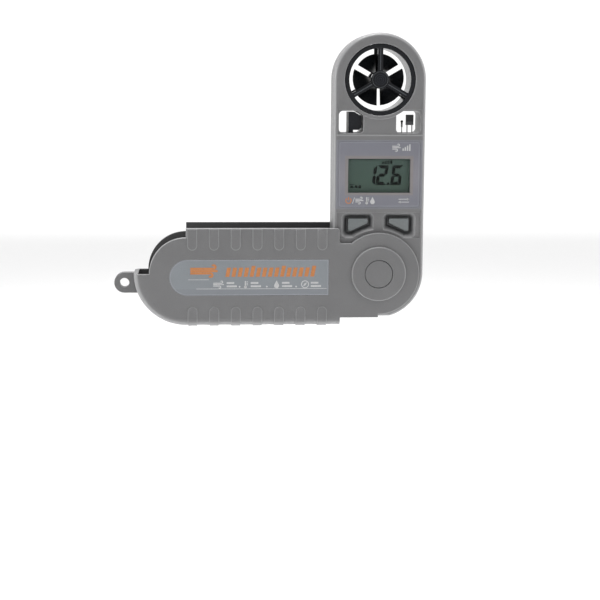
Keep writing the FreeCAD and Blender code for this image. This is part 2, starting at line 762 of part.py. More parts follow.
def display():
    inside = "-(half_depth - case_wall)"
    pane = block(
        "-(display_half - 0.05)", "display_half - 0.05", "-(half_depth - label_recess - 0.05)", inside,
        up("display_base + 0.05"), up("display_top - 0.05"),
    )
    flange = block(
        "-(display_half + 1.2)", "display_half + 1.2", inside, "-6.2",
        up("display_base - 1.2"), up("display_top + 1.2"),
    )
    keep(fuse(pane, flange), "display_window")
    middle = "-(glass_front + glass_back) / 2"
    upper_glass = block(
        "-glass_half", "glass_half", "-glass_front", middle, up("glass_base"), up("glass_top - 2")
    )
    lower_glass = block(
        "-glass_half", "glass_half", middle, "-glass_back", up("glass_base"), up("glass_top")
    )
    keep(fuse(upper_glass, lower_glass), "display_glass")
    rim = block(
        "-(glass_half + 1.2)", "glass_half + 1.2", "-glass_front", "-board_front",
        up("glass_base - 1"), up("glass_top + 1"),
    )
    seat = block(
        "-(glass_half + 0.1)", "glass_half + 0.1", "-(glass_front + 0.1)", "-glass_back",
        up("glass_base - 0.1"), up("glass_top + 0.1"),
    )
    well_through = block(
        "-(glass_half - 2)", "glass_half - 2", "-glass_back - 0.1", "-board_front + 0.1",
        up("glass_base + 2"), up("glass_top - 0.8"),
    )
    keep(cut(rim, seat, well_through), "display_holder")
    strips = [
        block("-(glass_half - 2.4)", "glass_half - 2.4", "-glass_back", "-board_front", up(low), up(high))
        for low, high in (("glass_base + 2.2", "glass_base + 3.6"), ("glass_top - 2.4", "glass_top - 1"))
    ]
    keep(group(*strips), "contact_strips")


def key_switch_places():
    return [(side + "switch_across", up("switch_height")) for side in ("-", "")]


def electronics():
    board = new_body("main_board")
    plate = rectangle("-board_half", "board_half", up("board_base"), up("board_top"))
    pad(board, "XZ", "-board_front", "-board_back", plate)
    holes = (circle(x, z, "boss_radius + 0.2") for x, z in SCREWS)
    pocket(board, "XZ", "-board_front", "-board_back", *holes)
    chips = [
        block("-4.5", "4.5", "-board_back", "0", up("30"), up("39")),
        block("7", "11", "-board_back", "-0.1", up("33"), up("37")),
        block("-11.5", "-8.5", "-board_back", "0.1", up("47"), up("54")),
        block("6", "9", "-board_back", "-0.2", up("47.5"), up("49.5")),
        rod("Z", "0.9", up("52"), up("57.5"), x="8", y="-board_back + 0.9"),
    ]
    keep(group(*chips), "board_components")
    sounder = rod("Y", "4.4", "-board_back", "1.6", x="-7", z=up("21.5"))
    port = rod("Y", "0.7", "1.0", "1.7", x="-7", z=up("21.5"))
    keep(cut(sounder, port), "sounder")
    switches = []
    for x, z in key_switch_places():
        low, high = f"({z}) - 2", f"({z}) + 2"
        switches.append(block(f"{x} - 2", f"{x} + 2", "-board_front - 1", "-board_front", low, high))
        switches.append(rod("Y", "0.9", "-board_front - 1.3", "-board_front - 1", x=x, z=z))
    keep(group(fuse(*switches[:2]), fuse(*switches[2:])), "key_switches")


def one_key(label, side):
    """A grey key: its cap stands in the well, and a flange behind the floor keeps it in."""
    body = new_body(label)
    x = side + "switch_across"
    z = up("switch_height")
    pad(body, "XZ", "-key_face", "-(well_back - 0.1)", key(side))
    corners = [
        (side + "key_outer", up("key_low")),
        (side + "key_outer", up("key_top")),
        (side + "key_inner", up("key_top")),
        (side + "key_inner", up("key_step")),
        (f"{side}(key_outer - 1.4)", up("key_low")),
    ]
    soften(body, "Fillet", "0.6", along_depth(*corners))
    soften(body, "Fillet", "0.3", on_level("Y", "-key_face"))
    pad(body, "XZ", "-(well_back - 0.1)", "-(well_back - 0.5)", key(side, "0.7"))
    pad(body, "XZ", "-(well_back - 0.5)", "-(board_front + 1.3 + key_travel + 0.05)", circle(x, z, "1.2"))


def battery():
    cell = {"x": "0", "z": up("cell_height")}
    can = rod("Y", "cell_radius", "cell_front + 0.4", "cell_back", **cell)
    button = rod("Y", "cell_radius - 1.1", "cell_front", "cell_front + 0.4", **cell)
    keep(rounded(fuse(can, button), "0.25", on_level("Y", "cell_back")), "coin_cell")
    foot = block(
        "-1.5", "1.5", "-board_back", "-board_back + 0.25", up("cell_height - 3.5"), up("cell_height")
    )
    riser = block(
        "-1.5", "1.5", "-board_back + 0.25", "cell_front - 0.25",
        up("cell_height - 0.25"), up("cell_height"),
    )
    tip = block("-1.5", "1.5", "cell_front - 0.25", "cell_front", up("cell_height - 3"), up("cell_height"))
    keep(fuse(foot, riser, tip), "negative_contact")
    rail = block(
        "cell_radius + 0.25", "cell_radius + 0.5", "cell_front + 0.5", "cell_back - 0.3",
        up("cell_height - 2"), up("cell_height + 2"),
    )
    bump = block(
        "cell_radius", "cell_radius + 0.25", "cell_front + 1", "cell_back - 1",
        up("cell_height - 0.5"), up("cell_height + 0.5"),
    )
    shelf = block(
        "cell_radius + 0.25", "cell_radius + 1.3", "cell_front", "cell_front + 0.5",
        up("cell_height - 2"), up("cell_height + 2"),
    )
    keep(fuse(rail, shelf, cut(bump, rod("Y", "cell_radius", "cell_front", "cell_back", **cell))),
         "positive_contact")


def battery_cover():
    body = new_body("battery_cover")
    centre = ("0", up("cell_height"))
    pad(body, "XZ", "door_step", "half_depth", circle(*centre, "door_radius"))
    pad(body, "XZ", "cell_back + 0.25", "door_step", circle(*centre, "door_plug"))
    soften(body, "Fillet", "0.3", on_level("Y", "half_depth"))
    slot_z = "cell_height"
    pocket(body, "XZ", "half_depth - 0.7", "half_depth", circle(*centre, "8.2"))
    pad(body, "XZ", "half_depth - 0.7", "half_depth", rectangle("-7.6", "7.6", up(f"{slot_z} - 1.9"),
                                                              up(f"{slot_z} + 1.9")))
    pocket(body, "XZ", "half_depth - 0.9", "half_depth", rectangle("-7", "7", up(f"{slot_z} - 0.9"),
                                                                   up(f"{slot_z} + 0.9")))
    keep(torus("Y", "door_radius - 0.5", "0.45", "0", "door_step - 0.46", up("cell_height")), "battery_seal")


# The sensors ------------------------------------------------------------------------------------------


def header(label, side):
    """The plug in a window's sill that carries what stands in that window, with its foot on the board."""
    body = new_body(label)
    across = sorted((side + "header_inner", side + "header_outer"), key=value)
    foot = sorted((side + "(header_inner - 0.4)", side + "(header_inner + 3.4)"), key=value)
    pad(body, "XY", up("window_base - window_wall"), up("window_base"),
        rectangle(*across, "-header_half", "header_half"))
    pad(body, "XY", up("57.6"), up("window_base - window_wall"), rectangle(*foot, "-1", "1"))
    return body


def sensors():
    header("sensor_header", "")
    sill = up("window_base")
    plate = block("humidity_across - 1.75", "humidity_across + 1.75", "-0.45", "0.45", up("66.3"), up("71"))
    legs = [
        rod("Z", "0.25", sill, up("66.3"), x=f"humidity_across {side} 1.1", y="0") for side in ("-", "+")
    ]
    keep(fuse(plate, *legs), "humidity_sensor")
    bead = doc.addObject("Part::Sphere", "Bead")
    bead.Radius = 0.62
    place_at(bead, "bead_across", "0", up("67.9"))
    sleeve = rod("Z", "0.42", up("65.4"), up("67.8"), x="bead_across")
    leads = rod("Z", "0.2", sill, up("65.5"), x="bead_across")
    keep(fuse(bead, sleeve, leads), "thermistor")
    module = header("compass_module", "-")
    right, left = "-(window_inner + 0.6)", "-(window_inner + 6.3)"
    pad(module, "XZ", "-5", "5", outline(
        (left, sill),
        (f"({left}) + 2.1", sill),
        (f"({left}) + 2.1", up("window_base + 1.3")),
        (f"({right}) - 1.1", up("window_base + 1.3")),
        (right, up("window_base + 2.4")),
        (right, up("70.4")),
        (f"({right}) - 3", up("72.2")),
        (left, up("72.2")),
    ))


# The impeller cartridge: built round the pivot of a body that is then moved up to the head -----------


def lift_to_head(body):
    """The cartridge's pieces are drawn round the origin and stand at the head by their Placement."""
    body.setExpression("Placement.Base.z", bound(HEAD))
    doc.recompute()


def bridge_spoke(reach):
    half = "spoke_width / 2"
    return rectangle(f"-({half})", half, "bridge_radius - 0.6", reach)


def impeller_ring():
    body = new_body("impeller_ring")
    tube = circle("0", "0", "ring_radius"), circle("0", "0", "tunnel_radius")
    pad(body, "XZ", "-ring_half", "ring_half", *tube)
    soften(body, "Fillet", "0.5", on_level("Y", "-ring_half"))
    hub = circle("0", "0", "bridge_radius")
    polar(body, pad(body, "XZ", "-spoke_front", "-spoke_back", bridge_spoke("tunnel_radius + 0.5")), "3")
    pad(body, "XZ", "-spoke_front", "-bridge_inner", hub)
    pad(body, "XZ", "-(spoke_front + 0.3)", "-spoke_front", circle("0", "0", "bridge_radius - 1.1"))
    pocket(body, "XZ", "-jewel_seat", "-bridge_inner", circle("0", "0", "jewel_radius"))
    pocket(body, "XZ", "bridge_start", "ring_half", circle("0", "0", "bridge_rim"))
    lift_to_head(body)


def rear_bridge():
    body = new_body("rear_bridge")
    rim = circle("0", "0", "bridge_rim"), circle("0", "0", "tunnel_radius")
    pad(body, "XZ", "bridge_start", "ring_half - 0.2", *rim)
    polar(body, pad(body, "XZ", "bridge_start", "spoke_front", bridge_spoke("tunnel_radius + 0.5")), "3")
    pad(body, "XZ", "bridge_inner", "spoke_front", circle("0", "0", "bridge_radius"))
    pocket(body, "XZ", "bridge_inner", "jewel_seat", circle("0", "0", "jewel_radius"))
    pocket(body, "XZ", "bridge_inner", "6", rectangle("-1.2", "1.2", "1.8", "3.4"))
    lift_to_head(body)
    pickup = block("-1.2", "1.2", "bridge_inner", "6", up("head_height + 1.8"), up("head_height + 3.4"))
    keep(pickup, "speed_pickup")


def blade_section(radius):
    """A blade's section at a radius: a thin plate, as wide as the gaps leave, turned to fill the depth."""
    wide = f"(({radius}) * tan(180 / blade_count) - blade_gap / cos(180 / blade_count))"
    length = f"sqrt({wide}^2 + blade_reach^2)"
    lean_x = f"blade_half * blade_reach / {length}"
    lean_y = f"blade_half * {wide} / {length}"
    return outline(
        (f"-{wide} - {lean_x}", f"-blade_reach + {lean_y}"),
        (f"-{wide} + {lean_x}", f"-blade_reach - {lean_y}"),
        (f"{wide} + {lean_x}", f"blade_reach - {lean_y}"),
        (f"{wide} - {lean_x}", f"blade_reach + {lean_y}"),
    )


def impeller():
    body = new_body("impeller_rotor")
    pad(body, "XZ", "-rotor_half", "rotor_half", circle("0", "0", "rotor_hub"))
    sections = [
        sketch_on(body, "XY", radius, [blade_section(radius)])
        for radius in ("blade_root", "(rotor_radius + blade_root) / 2", "rotor_radius + 0.6")
    ]
    doc.recompute()
    blade = body.newObject("PartDesign::AdditiveLoft", "Blade")
    blade.Profile = sections[0]
    blade.Sections = sections[1:]
    doc.recompute()
    polar(body, blade, "blade_count")
    ring = circle("0", "0", "rotor_radius"), circle("0", "0", "rotor_radius + 3")
    pocket(body, "XZ", "-rotor_half", "rotor_half", *ring)
    pocket(body, "XZ", "-rotor_half", "rotor_half", circle("0", "0", "pin_radius"))
    pocket(body, "XZ", "magnet_start", "rotor_half", circle("0", "0", "magnet_radius"))
    body.Placement = Placement(Vector(), Rotation(Vector(0, 1, 0), value("blade_turn")))
    body.setExpression("Placement.Rotation.Angle", bound("blade_turn"))
    lift_to_head(body)
    magnet = rod("Y", "magnet_radius", "magnet_start", "rotor_half", z=HEAD)
    hole = rod("Y", "pin_radius", "magnet_start - 1", "rotor_half + 1", z=HEAD)
    keep(cut(magnet, hole), "rotor_magnet")
    keep(rod("Y", "pin_radius", "-pin_half", "pin_half", z=HEAD), "impeller_pin")
    for label, low, high in (
        ("front_bearing", "-jewel_seat", "-bridge_inner"),
        ("rear_bearing", "bridge_inner", "jewel_seat"),
    ):
        jewel = rod("Y", "jewel_radius", low, high, z=HEAD)
        bore = rod("Y", "jewel_bore", f"{low} - 1", f"{high} + 1", z=HEAD)
        keep(cut(jewel, bore), label)


# The pivot --------------------------------------------------------------------------------------------


def pivot():
    centre = {"z": "pivot_height"}
    keep(rod("Y", "axle_radius", "-axle_half", "axle_half", **centre), "pivot_axle")
    for label, low, high, face in (
        ("front_pivot_cap", "-cap_face", "-axle_half", "-cap_face"),
        ("rear_pivot_cap", "axle_half", "cap_face", "cap_face"),
    ):
        cap = rod("Y", "cap_radius", low, high, **centre)
        keep(rounded(cap, "0.4", on_level("Y", face)), label)
    for label, low, high in (
        ("front_washer", "-washer_face", "-half_depth"),
        ("rear_washer", "half_depth", "washer_face"),
    ):
        disc = rod("Y", "washer_outer", low, high, **centre)
        hole = rod("Y", "washer_inner", f"{low} - 1", f"{high} + 1", **centre)
        keep(cut(disc, hole), label)


# The sheath -------------------------------------------------------------------------------------------

END = "-head_height"


def plate_outline(rise):
    """A plate seen from the front. rise lifts its open edge."""
    top, lip = f"(plate_top + {rise})", f"(lip_radius + {rise})"
    return outline(
        ("-(notch_across + notch_round)", up(top), "notch_round"),
        (END, up(top)),
        (END, up(lip)),
        (f"{END} - {lip}", up("0"), lip),
        (f"{END} - sheath_radius", up("0")),
        (END, up("-sheath_radius"), "sheath_radius"),
        ("-foot_across", up("-sheath_radius")),
        ("-foot_across", up("-foot_drop")),
        ("0", up("-foot_drop")),
        ("0", up("notch_floor")),
        ("-(notch_across - notch_round)", up("notch_floor")),
        ("-notch_across", up("notch_floor + notch_round"), "-notch_round"),
        ("-notch_across", up(f"{top} - notch_round")),
    )


def hinge_profile(face_sign):
    """Half section of the round end of a plate and of the raised pivot disc on it, with soft edges."""
    s, turn = ("-", "") if face_sign < 0 else ("", "-")
    return outline(
        (f"{s}plate_in", "0"),
        (f"{s}plate_in", "hinge_radius"),
        (f"{s}(plate_out - edge_round)", "hinge_radius"),
        (f"{s}plate_out", "hinge_radius - edge_round", f"{turn}edge_round"),
        (f"{s}plate_out", "disc_radius"),
        (f"{s}(disc_face - disc_round)", "disc_radius"),
        (f"{s}disc_face", "disc_radius - disc_round", f"{turn}disc_round"),
        (f"{s}disc_face", "0"),
    )


def edge_wall_outline():
    inner = "(sheath_radius - sheath_wall)"
    return outline(
        (f"{END} - sheath_radius", up("0")),
        (END, up("-sheath_radius"), "sheath_radius"),
        ("-foot_across", up("-sheath_radius")),
        ("-foot_across", up(f"-{inner}")),
        (END, up(f"-{inner}")),
        (f"{END} - {inner}", up("0"), "-" + inner),
    )


def tab_outline():
    top, low = "tab_radius - tab_drop", "-tab_radius - tab_drop"
    return outline(
        ("-tab_across", up(top)),
        ("-(tab_across + tab_radius)", up("-tab_drop"), "tab_radius"),
        ("-tab_across", up(low), "tab_radius"),
        ("-106.9", up(low)),
        ("-108.3", up(top)),
    )


def inlay_outline(trim="0"):
    half = f"(inlay_half - {trim})"
    left = "-(inlay_left - inlay_half)"
    return outline(
        (left, up(f"-inlay_centre - {half}"), half),
        (f"-(inlay_right + {trim})", up(f"-inlay_centre - {half}")),
        (f"-(inlay_right + {trim})", up(f"-inlay_centre + {half}")),
        (left, up(f"-inlay_centre + {half}")),
        (f"{left} - {half}", up("-inlay_centre"), half),
    )


def rib_outline(number, end, tip):
    """A grip rib: square at the sheath's edge, round at its inner end."""
    middle = f"-(rib_first + {number} * rib_pitch)"
    left, right = f"{middle} - rib_half", f"{middle} + rib_half"
    if end.startswith("-"):
        corners = ((right, up(tip)), (right, up(end)), (middle, up(f"{end} + rib_half"), "rib_half"),
                   (left, up(end), "rib_half"), (left, up(tip)))
    else:
        corners = ((left, up(tip)), (left, up(end)), (middle, up(f"{end} - rib_half"), "rib_half"),
                   (right, up(end), "rib_half"), (right, up(tip)))
    return outline(*corners)


def lower_ribs(face_sign):
    """The ribs that wrap round the closed edge: their plan and their side profile, in common."""
    plan = doc.addObject("PartDesign::Body", "RibPlan")
    far, near = ("-(plate_out + 1)", "-0.6") if face_sign < 0 else ("0.6", "plate_out + 1")
    ribs = (rib_outline(n, "-(rib_low_end + rib_half)", "-(sheath_radius + 1)") for n in range(RIBS))
    pad(plan, "XZ", far, near, *ribs)
    side = doc.addObject("PartDesign::Body", "RibProfile")
    s = "-" if face_sign < 0 else ""
    face, edge = f"{s}(plate_out + rib_proud)", "-(sheath_radius + rib_proud)"
    turn = "(sheath_round + rib_proud)"
    deep = f"{s}(plate_out + rib_proud - {turn})"
    profile = outline(
        (f"{s}0.5", up(edge)),
        (f"{s}0.5", up("-(sheath_radius - 1)")),
        (f"{s}(plate_in + 1)", up("-(sheath_radius - sheath_wall - 1)")),
        (f"{s}(plate_in + 1)", up("-rib_low_end + 1")),
        (face, up("-rib_low_end + 1")),
        (face, up(f"{edge} + {turn}")),
        (deep, up(edge), turn if face_sign < 0 else "-" + turn),
    )
    pad(side, "YZ", "-head_height - 2", "0", profile)
    return common(plan, side)


RIBS = int(value("rib_count"))


def sheath_half(label, face_sign):
    """One half of the sheath. face_sign is -1 for the front half and 1 for the rear one."""
    s = "-" if face_sign < 0 else ""

    def levels(inner, outer):
        pair = (f"{s}({inner})", f"{s}({outer})")
        return pair[::-1] if face_sign < 0 else pair

    body = doc.addObject("PartDesign::Body", label + "_moulding")
    rise = "0" if face_sign < 0 else "rear_rise"
    pad(body, "XZ", *levels("plate_in", "plate_out"), plate_outline(rise))
    pad(body, "XZ", *levels("0", "plate_in"), edge_wall_outline())
    outer = on_level("Y", f"{s}plate_out")
    axis = value("pivot_height")

    def closed_edge(edge):
        box = edge.BoundBox
        return outer(edge) and box.ZMax < axis + NEAR and box.XMax < value("-foot_across") + NEAR and (
            box.XLength > value("sheath_radius") - 1
        )

    def open_edge(edge):
        return outer(edge) and edge.BoundBox.ZMax > axis + 1 and edge.BoundBox.XMax < -1

    soften(body, "Fillet", "sheath_round", closed_edge)
    soften(body, "Fillet", "edge_round", open_edge)
    bevel_seam(body, "sheath_radius")
    turned(body, "pivot_height", hinge_profile(face_sign))
    pad(body, "XZ", *levels("0", "tab_half"), tab_outline())
    pocket(body, "XZ", *levels("0", "tab_half"), circle("-tab_across", up("-tab_drop"), "tab_hole"))
    pocket(body, "XZ", *levels("axle_half", "disc_face"), circle("0", "pivot_height", "cap_bore"))
    pocket(body, "XZ", *levels("plate_in", "axle_half"), circle("0", "pivot_height", "axle_bore"))
    if face_sign < 0:
        pocket(body, "XZ", *levels("plate_out - label_recess", "plate_out"), inlay_outline())
        pad(body, "XZ", *levels("plate_in - 0.95", "plate_in"), circle("-stop_radius", up("0"), "stop_size"))
    top = doc.addObject("PartDesign::Body", label + "_ribs")
    upper = (rib_outline(n, "rib_top_end + rib_half", "plate_top - edge_round") for n in range(RIBS))
    pad(top, "XZ", *levels("plate_out - 0.5", "plate_out + rib_proud"), *upper)
    keep(fuse(body, top, lower_ribs(face_sign)), label)


def sheath():
    sheath_half("sheath_front", -1)
    sheath_half("sheath_rear", 1)
    inlay = new_body("sheath_label")
    back = "-(plate_out - label_recess)"
    pad(inlay, "XZ", f"({back}) - label_thick", back, inlay_outline("0.1"))


def check(piece):
    bad = {"Invalid", "Error"} & set(piece.State)
    if bad or piece.Shape.isNull() or not piece.Shape.isValid() or not piece.Shape.Solids:
        raise RuntimeError(f"{piece.Label} failed: {piece.State}")


front_case()
rear_case()
case_fittings()
face_label()
display()
electronics()
one_key("mode_key", "-")
one_key("unit_key", "")
battery()
battery_cover()
sensors()
impeller_ring()
rear_bridge()
impeller()
pivot()
sheath()
doc.recompute()

failed = [o.Label for o in doc.Objects if {"Invalid", "Error"} & set(o.State)]
if failed:
    raise RuntimeError(f"these objects failed: {failed}")
os.makedirs("parts", exist_ok=True)
for piece in parts:
    check(piece)
    piece.Shape.exportStep(f"parts/{piece.Label}.step")
    print(f"{piece.Label:20s} {len(piece.Shape.Solids)} solid(s) {piece.Shape.Volume:10.1f} mm3")
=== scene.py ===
"""Looks and studio for a folding handheld weather meter. Metres, +Z up, the display faces -Y.

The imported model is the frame: its nodes get procedural materials here, and thin printed and moulded
details are added on top, each riding on the body that it belongs to.
"""

import math

import bmesh
import bpy
from mathutils import Matrix, Vector


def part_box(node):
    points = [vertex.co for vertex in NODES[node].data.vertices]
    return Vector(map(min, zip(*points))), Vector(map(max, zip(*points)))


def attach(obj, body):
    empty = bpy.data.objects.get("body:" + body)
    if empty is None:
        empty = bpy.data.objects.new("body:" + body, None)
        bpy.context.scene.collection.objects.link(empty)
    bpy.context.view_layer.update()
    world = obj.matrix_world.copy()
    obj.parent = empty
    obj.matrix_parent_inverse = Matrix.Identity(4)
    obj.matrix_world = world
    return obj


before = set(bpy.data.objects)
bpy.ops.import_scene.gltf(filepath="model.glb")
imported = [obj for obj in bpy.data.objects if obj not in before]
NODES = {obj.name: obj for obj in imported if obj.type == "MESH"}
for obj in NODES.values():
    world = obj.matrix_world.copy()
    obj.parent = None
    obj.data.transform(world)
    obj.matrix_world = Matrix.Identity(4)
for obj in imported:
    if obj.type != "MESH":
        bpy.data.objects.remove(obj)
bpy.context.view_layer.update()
MM = 0.001


# Colours and node helpers -----------------------------------------------------------------------------


STUDIO_GAIN = 1.62  # how much brighter than its own colour a matt face turned to the front comes out


def srgb(red, green, blue):
    """The linear colour for a shader, from 0 to 255 values of how a colour looks in the studio."""

    def linear(value):
        value /= 255
        return value / 12.92 if value <= 0.04045 else ((value + 0.055) / 1.055) ** 2.4

    return tuple(linear(value) / STUDIO_GAIN for value in (red, green, blue)) + (1.0,)


class Look:
    """A node material being built. Distances are in metres, in the object's own place."""

    def __init__(self, name):
        self.material = bpy.data.materials.new(name)
        self.material.use_nodes = True
        self.tree = self.material.node_tree
        self.shader = self.tree.nodes["Principled BSDF"]
        self.place = self.tree.nodes.new("ShaderNodeTexCoord")
        split = self.tree.nodes.new("ShaderNodeSeparateXYZ")
        self.link(self.place.outputs["Object"], split.inputs[0])
        self.x, self.y, self.z = split.outputs
        turn = self.tree.nodes.new("ShaderNodeSeparateXYZ")
        self.link(self.place.outputs["Normal"], turn.inputs[0])
        self.nx, self.ny, self.nz = turn.outputs

    def link(self, source, socket):
        """Joins a node's output to a socket, or sets the socket to a plain value."""
        if isinstance(source, (int, float, tuple)):
            socket.default_value = source
        else:
            self.tree.links.new(source, socket)

    def texture(self, kind, size, stretch):
        """A texture node whose features are about size metres across, times stretch along X, Y and Z."""
        mapping = self.tree.nodes.new("ShaderNodeMapping")
        self.link(self.place.outputs["Object"], mapping.inputs["Vector"])
        mapping.inputs["Scale"].default_value = [1 / (size * factor) for factor in stretch]
        node = self.tree.nodes.new(kind)
        self.link(mapping.outputs[0], node.inputs["Vector"])
        node.inputs["Scale"].default_value = 1.0
        return node

    def noise(self, size, detail=3.0, stretch=(1, 1, 1), rough=0.5):
        node = self.texture("ShaderNodeTexNoise", size, stretch)
        node.inputs["Detail"].default_value = detail
        node.inputs["Roughness"].default_value = rough
        return node.outputs["Fac"]

    def cells(self, size):
        """Round cells: the distance from each cell's middle."""
        return self.texture("ShaderNodeTexVoronoi", size, (1, 1, 1)).outputs["Distance"]

    def maths(self, operation, *values):
        node = self.tree.nodes.new("ShaderNodeMath")
        node.operation = operation
        for value, socket in zip(values, node.inputs):
            self.link(value, socket)
        return node.outputs[0]

    def ramp(self, value, start, end, low=0.0, high=1.0):
        """Maps value from start..end to low..high, smoothly and clamped."""
        node = self.tree.nodes.new("ShaderNodeMapRange")
        node.interpolation_type = "SMOOTHSTEP"
        for socket, given in zip(node.inputs, (value, start, end, low, high)):
            self.link(given, socket)
        return node.outputs[0]

    def band(self, value, low, high, soft=0.00005):
        """1 where value lies between low and high."""
        rise = self.ramp(value, low - soft, low + soft)
        fall = self.ramp(value, high - soft, high + soft, 1.0, 0.0)
        return self.maths("MULTIPLY", rise, fall)

    def all_of(self, *masks):
        """1 only where every mask is 1."""
        result = masks[0]
        for mask in masks[1:]:
            result = self.maths("MULTIPLY", result, mask)
        return result

    def mix(self, factor, first, second):
        node = self.tree.nodes.new("ShaderNodeMix")
        node.data_type = "RGBA"
        self.link(factor, node.inputs[0])
        self.link(first, node.inputs[6])
        self.link(second, node.inputs[7])
        return node.outputs[2]

    def bump(self, height, depth, strength=1.0, after=None):
        """A bumped normal, depth metres from low to high, on top of the bump given as after."""
        node = self.tree.nodes.new("ShaderNodeBump")
        node.inputs["Distance"].default_value = depth
        node.inputs["Strength"].default_value = strength
        self.link(height, node.inputs["Height"])
        if after is not None:
            self.link(after, node.inputs["Normal"])
        return node.outputs[0]

    def edges(self, radius):
        """1 on sharp edges and 0 elsewhere, from how far a rounded normal turns away."""
        bevel = self.tree.nodes.new("ShaderNodeBevel")
        bevel.samples = 4
        bevel.inputs["Radius"].default_value = radius
        flat = self.tree.nodes.new("ShaderNodeNewGeometry")
        dot = self.tree.nodes.new("ShaderNodeVectorMath")
        dot.operation = "DOT_PRODUCT"
        self.link(bevel.outputs[0], dot.inputs[0])
        self.link(flat.outputs["Normal"], dot.inputs[1])
        return self.ramp(dot.outputs["Value"], 0.995, 0.82)

    def finish(self, colour, roughness, normal=None, **values):
        self.link(colour, self.shader.inputs["Base Color"])
        self.link(roughness, self.shader.inputs["Roughness"])
        if normal is not None:
            self.link(normal, self.shader.inputs["Normal"])
        for name, value in values.items():
            self.link(value, self.shader.inputs[name.replace("_", " ")])
        return self.material


def shade(colour, factor):
    """A paler or darker tone of a colour."""
    return tuple(min(1.0, c * factor) for c in colour[:3]) + (1.0,)


def moulded(
    name, colour, roughness=0.42, grain=0.00022, depth=0.000012, edge_highlight=0.45, mask=None, rim_highlight=0.0, **values
):
    """Moulded plastic: eroded grain, faint flow clouds, scuffs in the gloss and a painted highlight on its
    edges.

    The edge setting is how pale the painted highlight on its sharp edges is, and the rim setting how pale
    the painted highlight on its rounded edges is. mask takes the look and returns (factor, colour) pairs
    that are painted over the plastic.
    """
    look = Look(name)
    clouds = look.noise(0.018, 4.0)
    speck = look.noise(grain * 2.2, 2.0)
    tint = look.mix(look.ramp(clouds, 0.3, 0.7), shade(colour, 0.95), shade(colour, 1.05))
    tint = look.mix(look.ramp(speck, 0.35, 0.75, 0.0, 0.5), tint, shade(colour, 0.88))
    # Painted highlight on the sharp edges, a little uneven along them.
    if edge_highlight:
        uneven = look.ramp(clouds, 0.2, 0.8, 0.7 * edge_highlight, edge_highlight)
        edge_lit = look.maths("MULTIPLY", look.edges(0.0004), uneven)
        tint = look.mix(edge_lit, tint, shade(colour, 2.0))
    # Painted highlight on rounded edges that turn away from the front, standing in for the light they catch.
    if rim_highlight:
        turned = look.maths("ABSOLUTE", look.ny)
        rounded = look.all_of(look.ramp(turned, 0.97, 0.8), look.ramp(turned, 0.02, 0.3))
        tint = look.mix(look.maths("MULTIPLY", rounded, rim_highlight), tint, shade(colour, 2.0))
    for factor, painted in mask(look) if mask else ():
        tint = look.mix(factor, tint, painted)
    scuffs = look.noise(0.0009, 5.0, (6, 1, 1), 0.7)
    gloss = look.ramp(scuffs, 0.45, 0.8, roughness, roughness + 0.12)
    gloss = look.maths("ADD", gloss, look.ramp(speck, 0.2, 0.8, -0.05, 0.05))
    normal = look.bump(look.noise(grain, 3.0), depth, 0.6)
    return look.finish(tint, gloss, normal, **values)


# Where things are -------------------------------------------------------------------------------------

pivot_low, pivot_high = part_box("pivot_axle")
PIVOT = (pivot_low + pivot_high) / 2
pin_low, pin_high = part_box("impeller_pin")
HEAD = (pin_low + pin_high) / 2
FRONT_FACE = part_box("front_case")[0].y
label_low, label_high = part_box("face_label")
GLASS_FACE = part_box("display_glass")[0].y
inlay_low, inlay_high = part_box("sheath_label")
DISC_RISE = 1.4 * MM  # how far the pivot disc stands out of the sheath's plate
REAR_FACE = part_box("sheath_rear")[1].y - DISC_RISE
CHANNEL_END = PIVOT.z - HEAD.z  # the channel's round end, where the head goes when the meter is folded
CHANNEL_HALF, CHANNEL_RADIUS = 8.95 * MM, 21.6 * MM
SEAM_HALF = 0.16 * MM
PLATE_HALF = 19.4 * MM  # half of the width of the case's flat front
RIB_FIRST, RIB_PITCH, RIB_HALF = 25.5 * MM, 9.7 * MM, 2.0 * MM
RIB_TOP_END, RIB_LOW_END = 13.0 * MM, -16.9 * MM


def above_pivot(mm):
    """The height of what lies mm millimetres above the pivot."""
    return PIVOT.z + mm * MM


# Materials of the CAD nodes ---------------------------------------------------------------------------

GREY = srgb(119, 119, 120)
SEAM_GREY = srgb(40, 40, 41)


def seam_line(look):
    """The gap where two halves meet, in the middle of their thickness."""
    return look.band(look.y, -SEAM_HALF, SEAM_HALF, 0.00003)


def in_front(look, depth, soft=0.05):
    """1 on what lies less than depth millimetres behind the case's front face."""
    return look.ramp(look.y, FRONT_FACE + (depth + soft) * MM, FRONT_FACE + (depth - soft) * MM)


def well_shade(look, aside):
    """Painted shade on the key wells' sloping walls, darker towards the keys. Their floors stay as they are.
    """
    inner, outer, foot, head = 1.9 * MM, 17.0 * MM, above_pivot(15.6), above_pivot(27.4)
    return look.all_of(
        look.ramp(look.y, FRONT_FACE + 0.7 * MM, FRONT_FACE + 2.6 * MM),
        in_front(look, 3.9, 0.1),
        look.band(aside, inner, outer),
        look.band(look.z, foot, head),
    )


def label_edge_highlight(look, aside):
    """A painted highlight on the narrow face round the label: upright strips beside it, and level strips
    under and over it.
    """
    low, high, strip = above_pivot(29.2), above_pivot(59.9), 0.55 * MM
    upright = look.all_of(
        look.band(aside, PLATE_HALF - 0.9 * MM, PLATE_HALF),
        look.band(look.z, low, high),
        in_front(look, 0.9, 0.2),
    )
    ends = look.maths("ADD", look.band(look.z, low, low + strip), look.band(look.z, high - strip, high))
    level = look.all_of(look.ramp(aside, PLATE_HALF, PLATE_HALF - 0.1 * MM), ends, in_front(look, 0.15))
    return look.maths("MAXIMUM", upright, level)


def sill_highlight(look, aside):
    """A painted highlight on the lower edge of the band between the windows."""
    low, high = above_pivot(61.7), above_pivot(62.2)
    return look.all_of(
        look.ramp(aside, PLATE_HALF, PLATE_HALF - 0.2 * MM),
        look.band(look.z, low, high, 0.0001),
        in_front(look, 0.4, 0.1),
    )


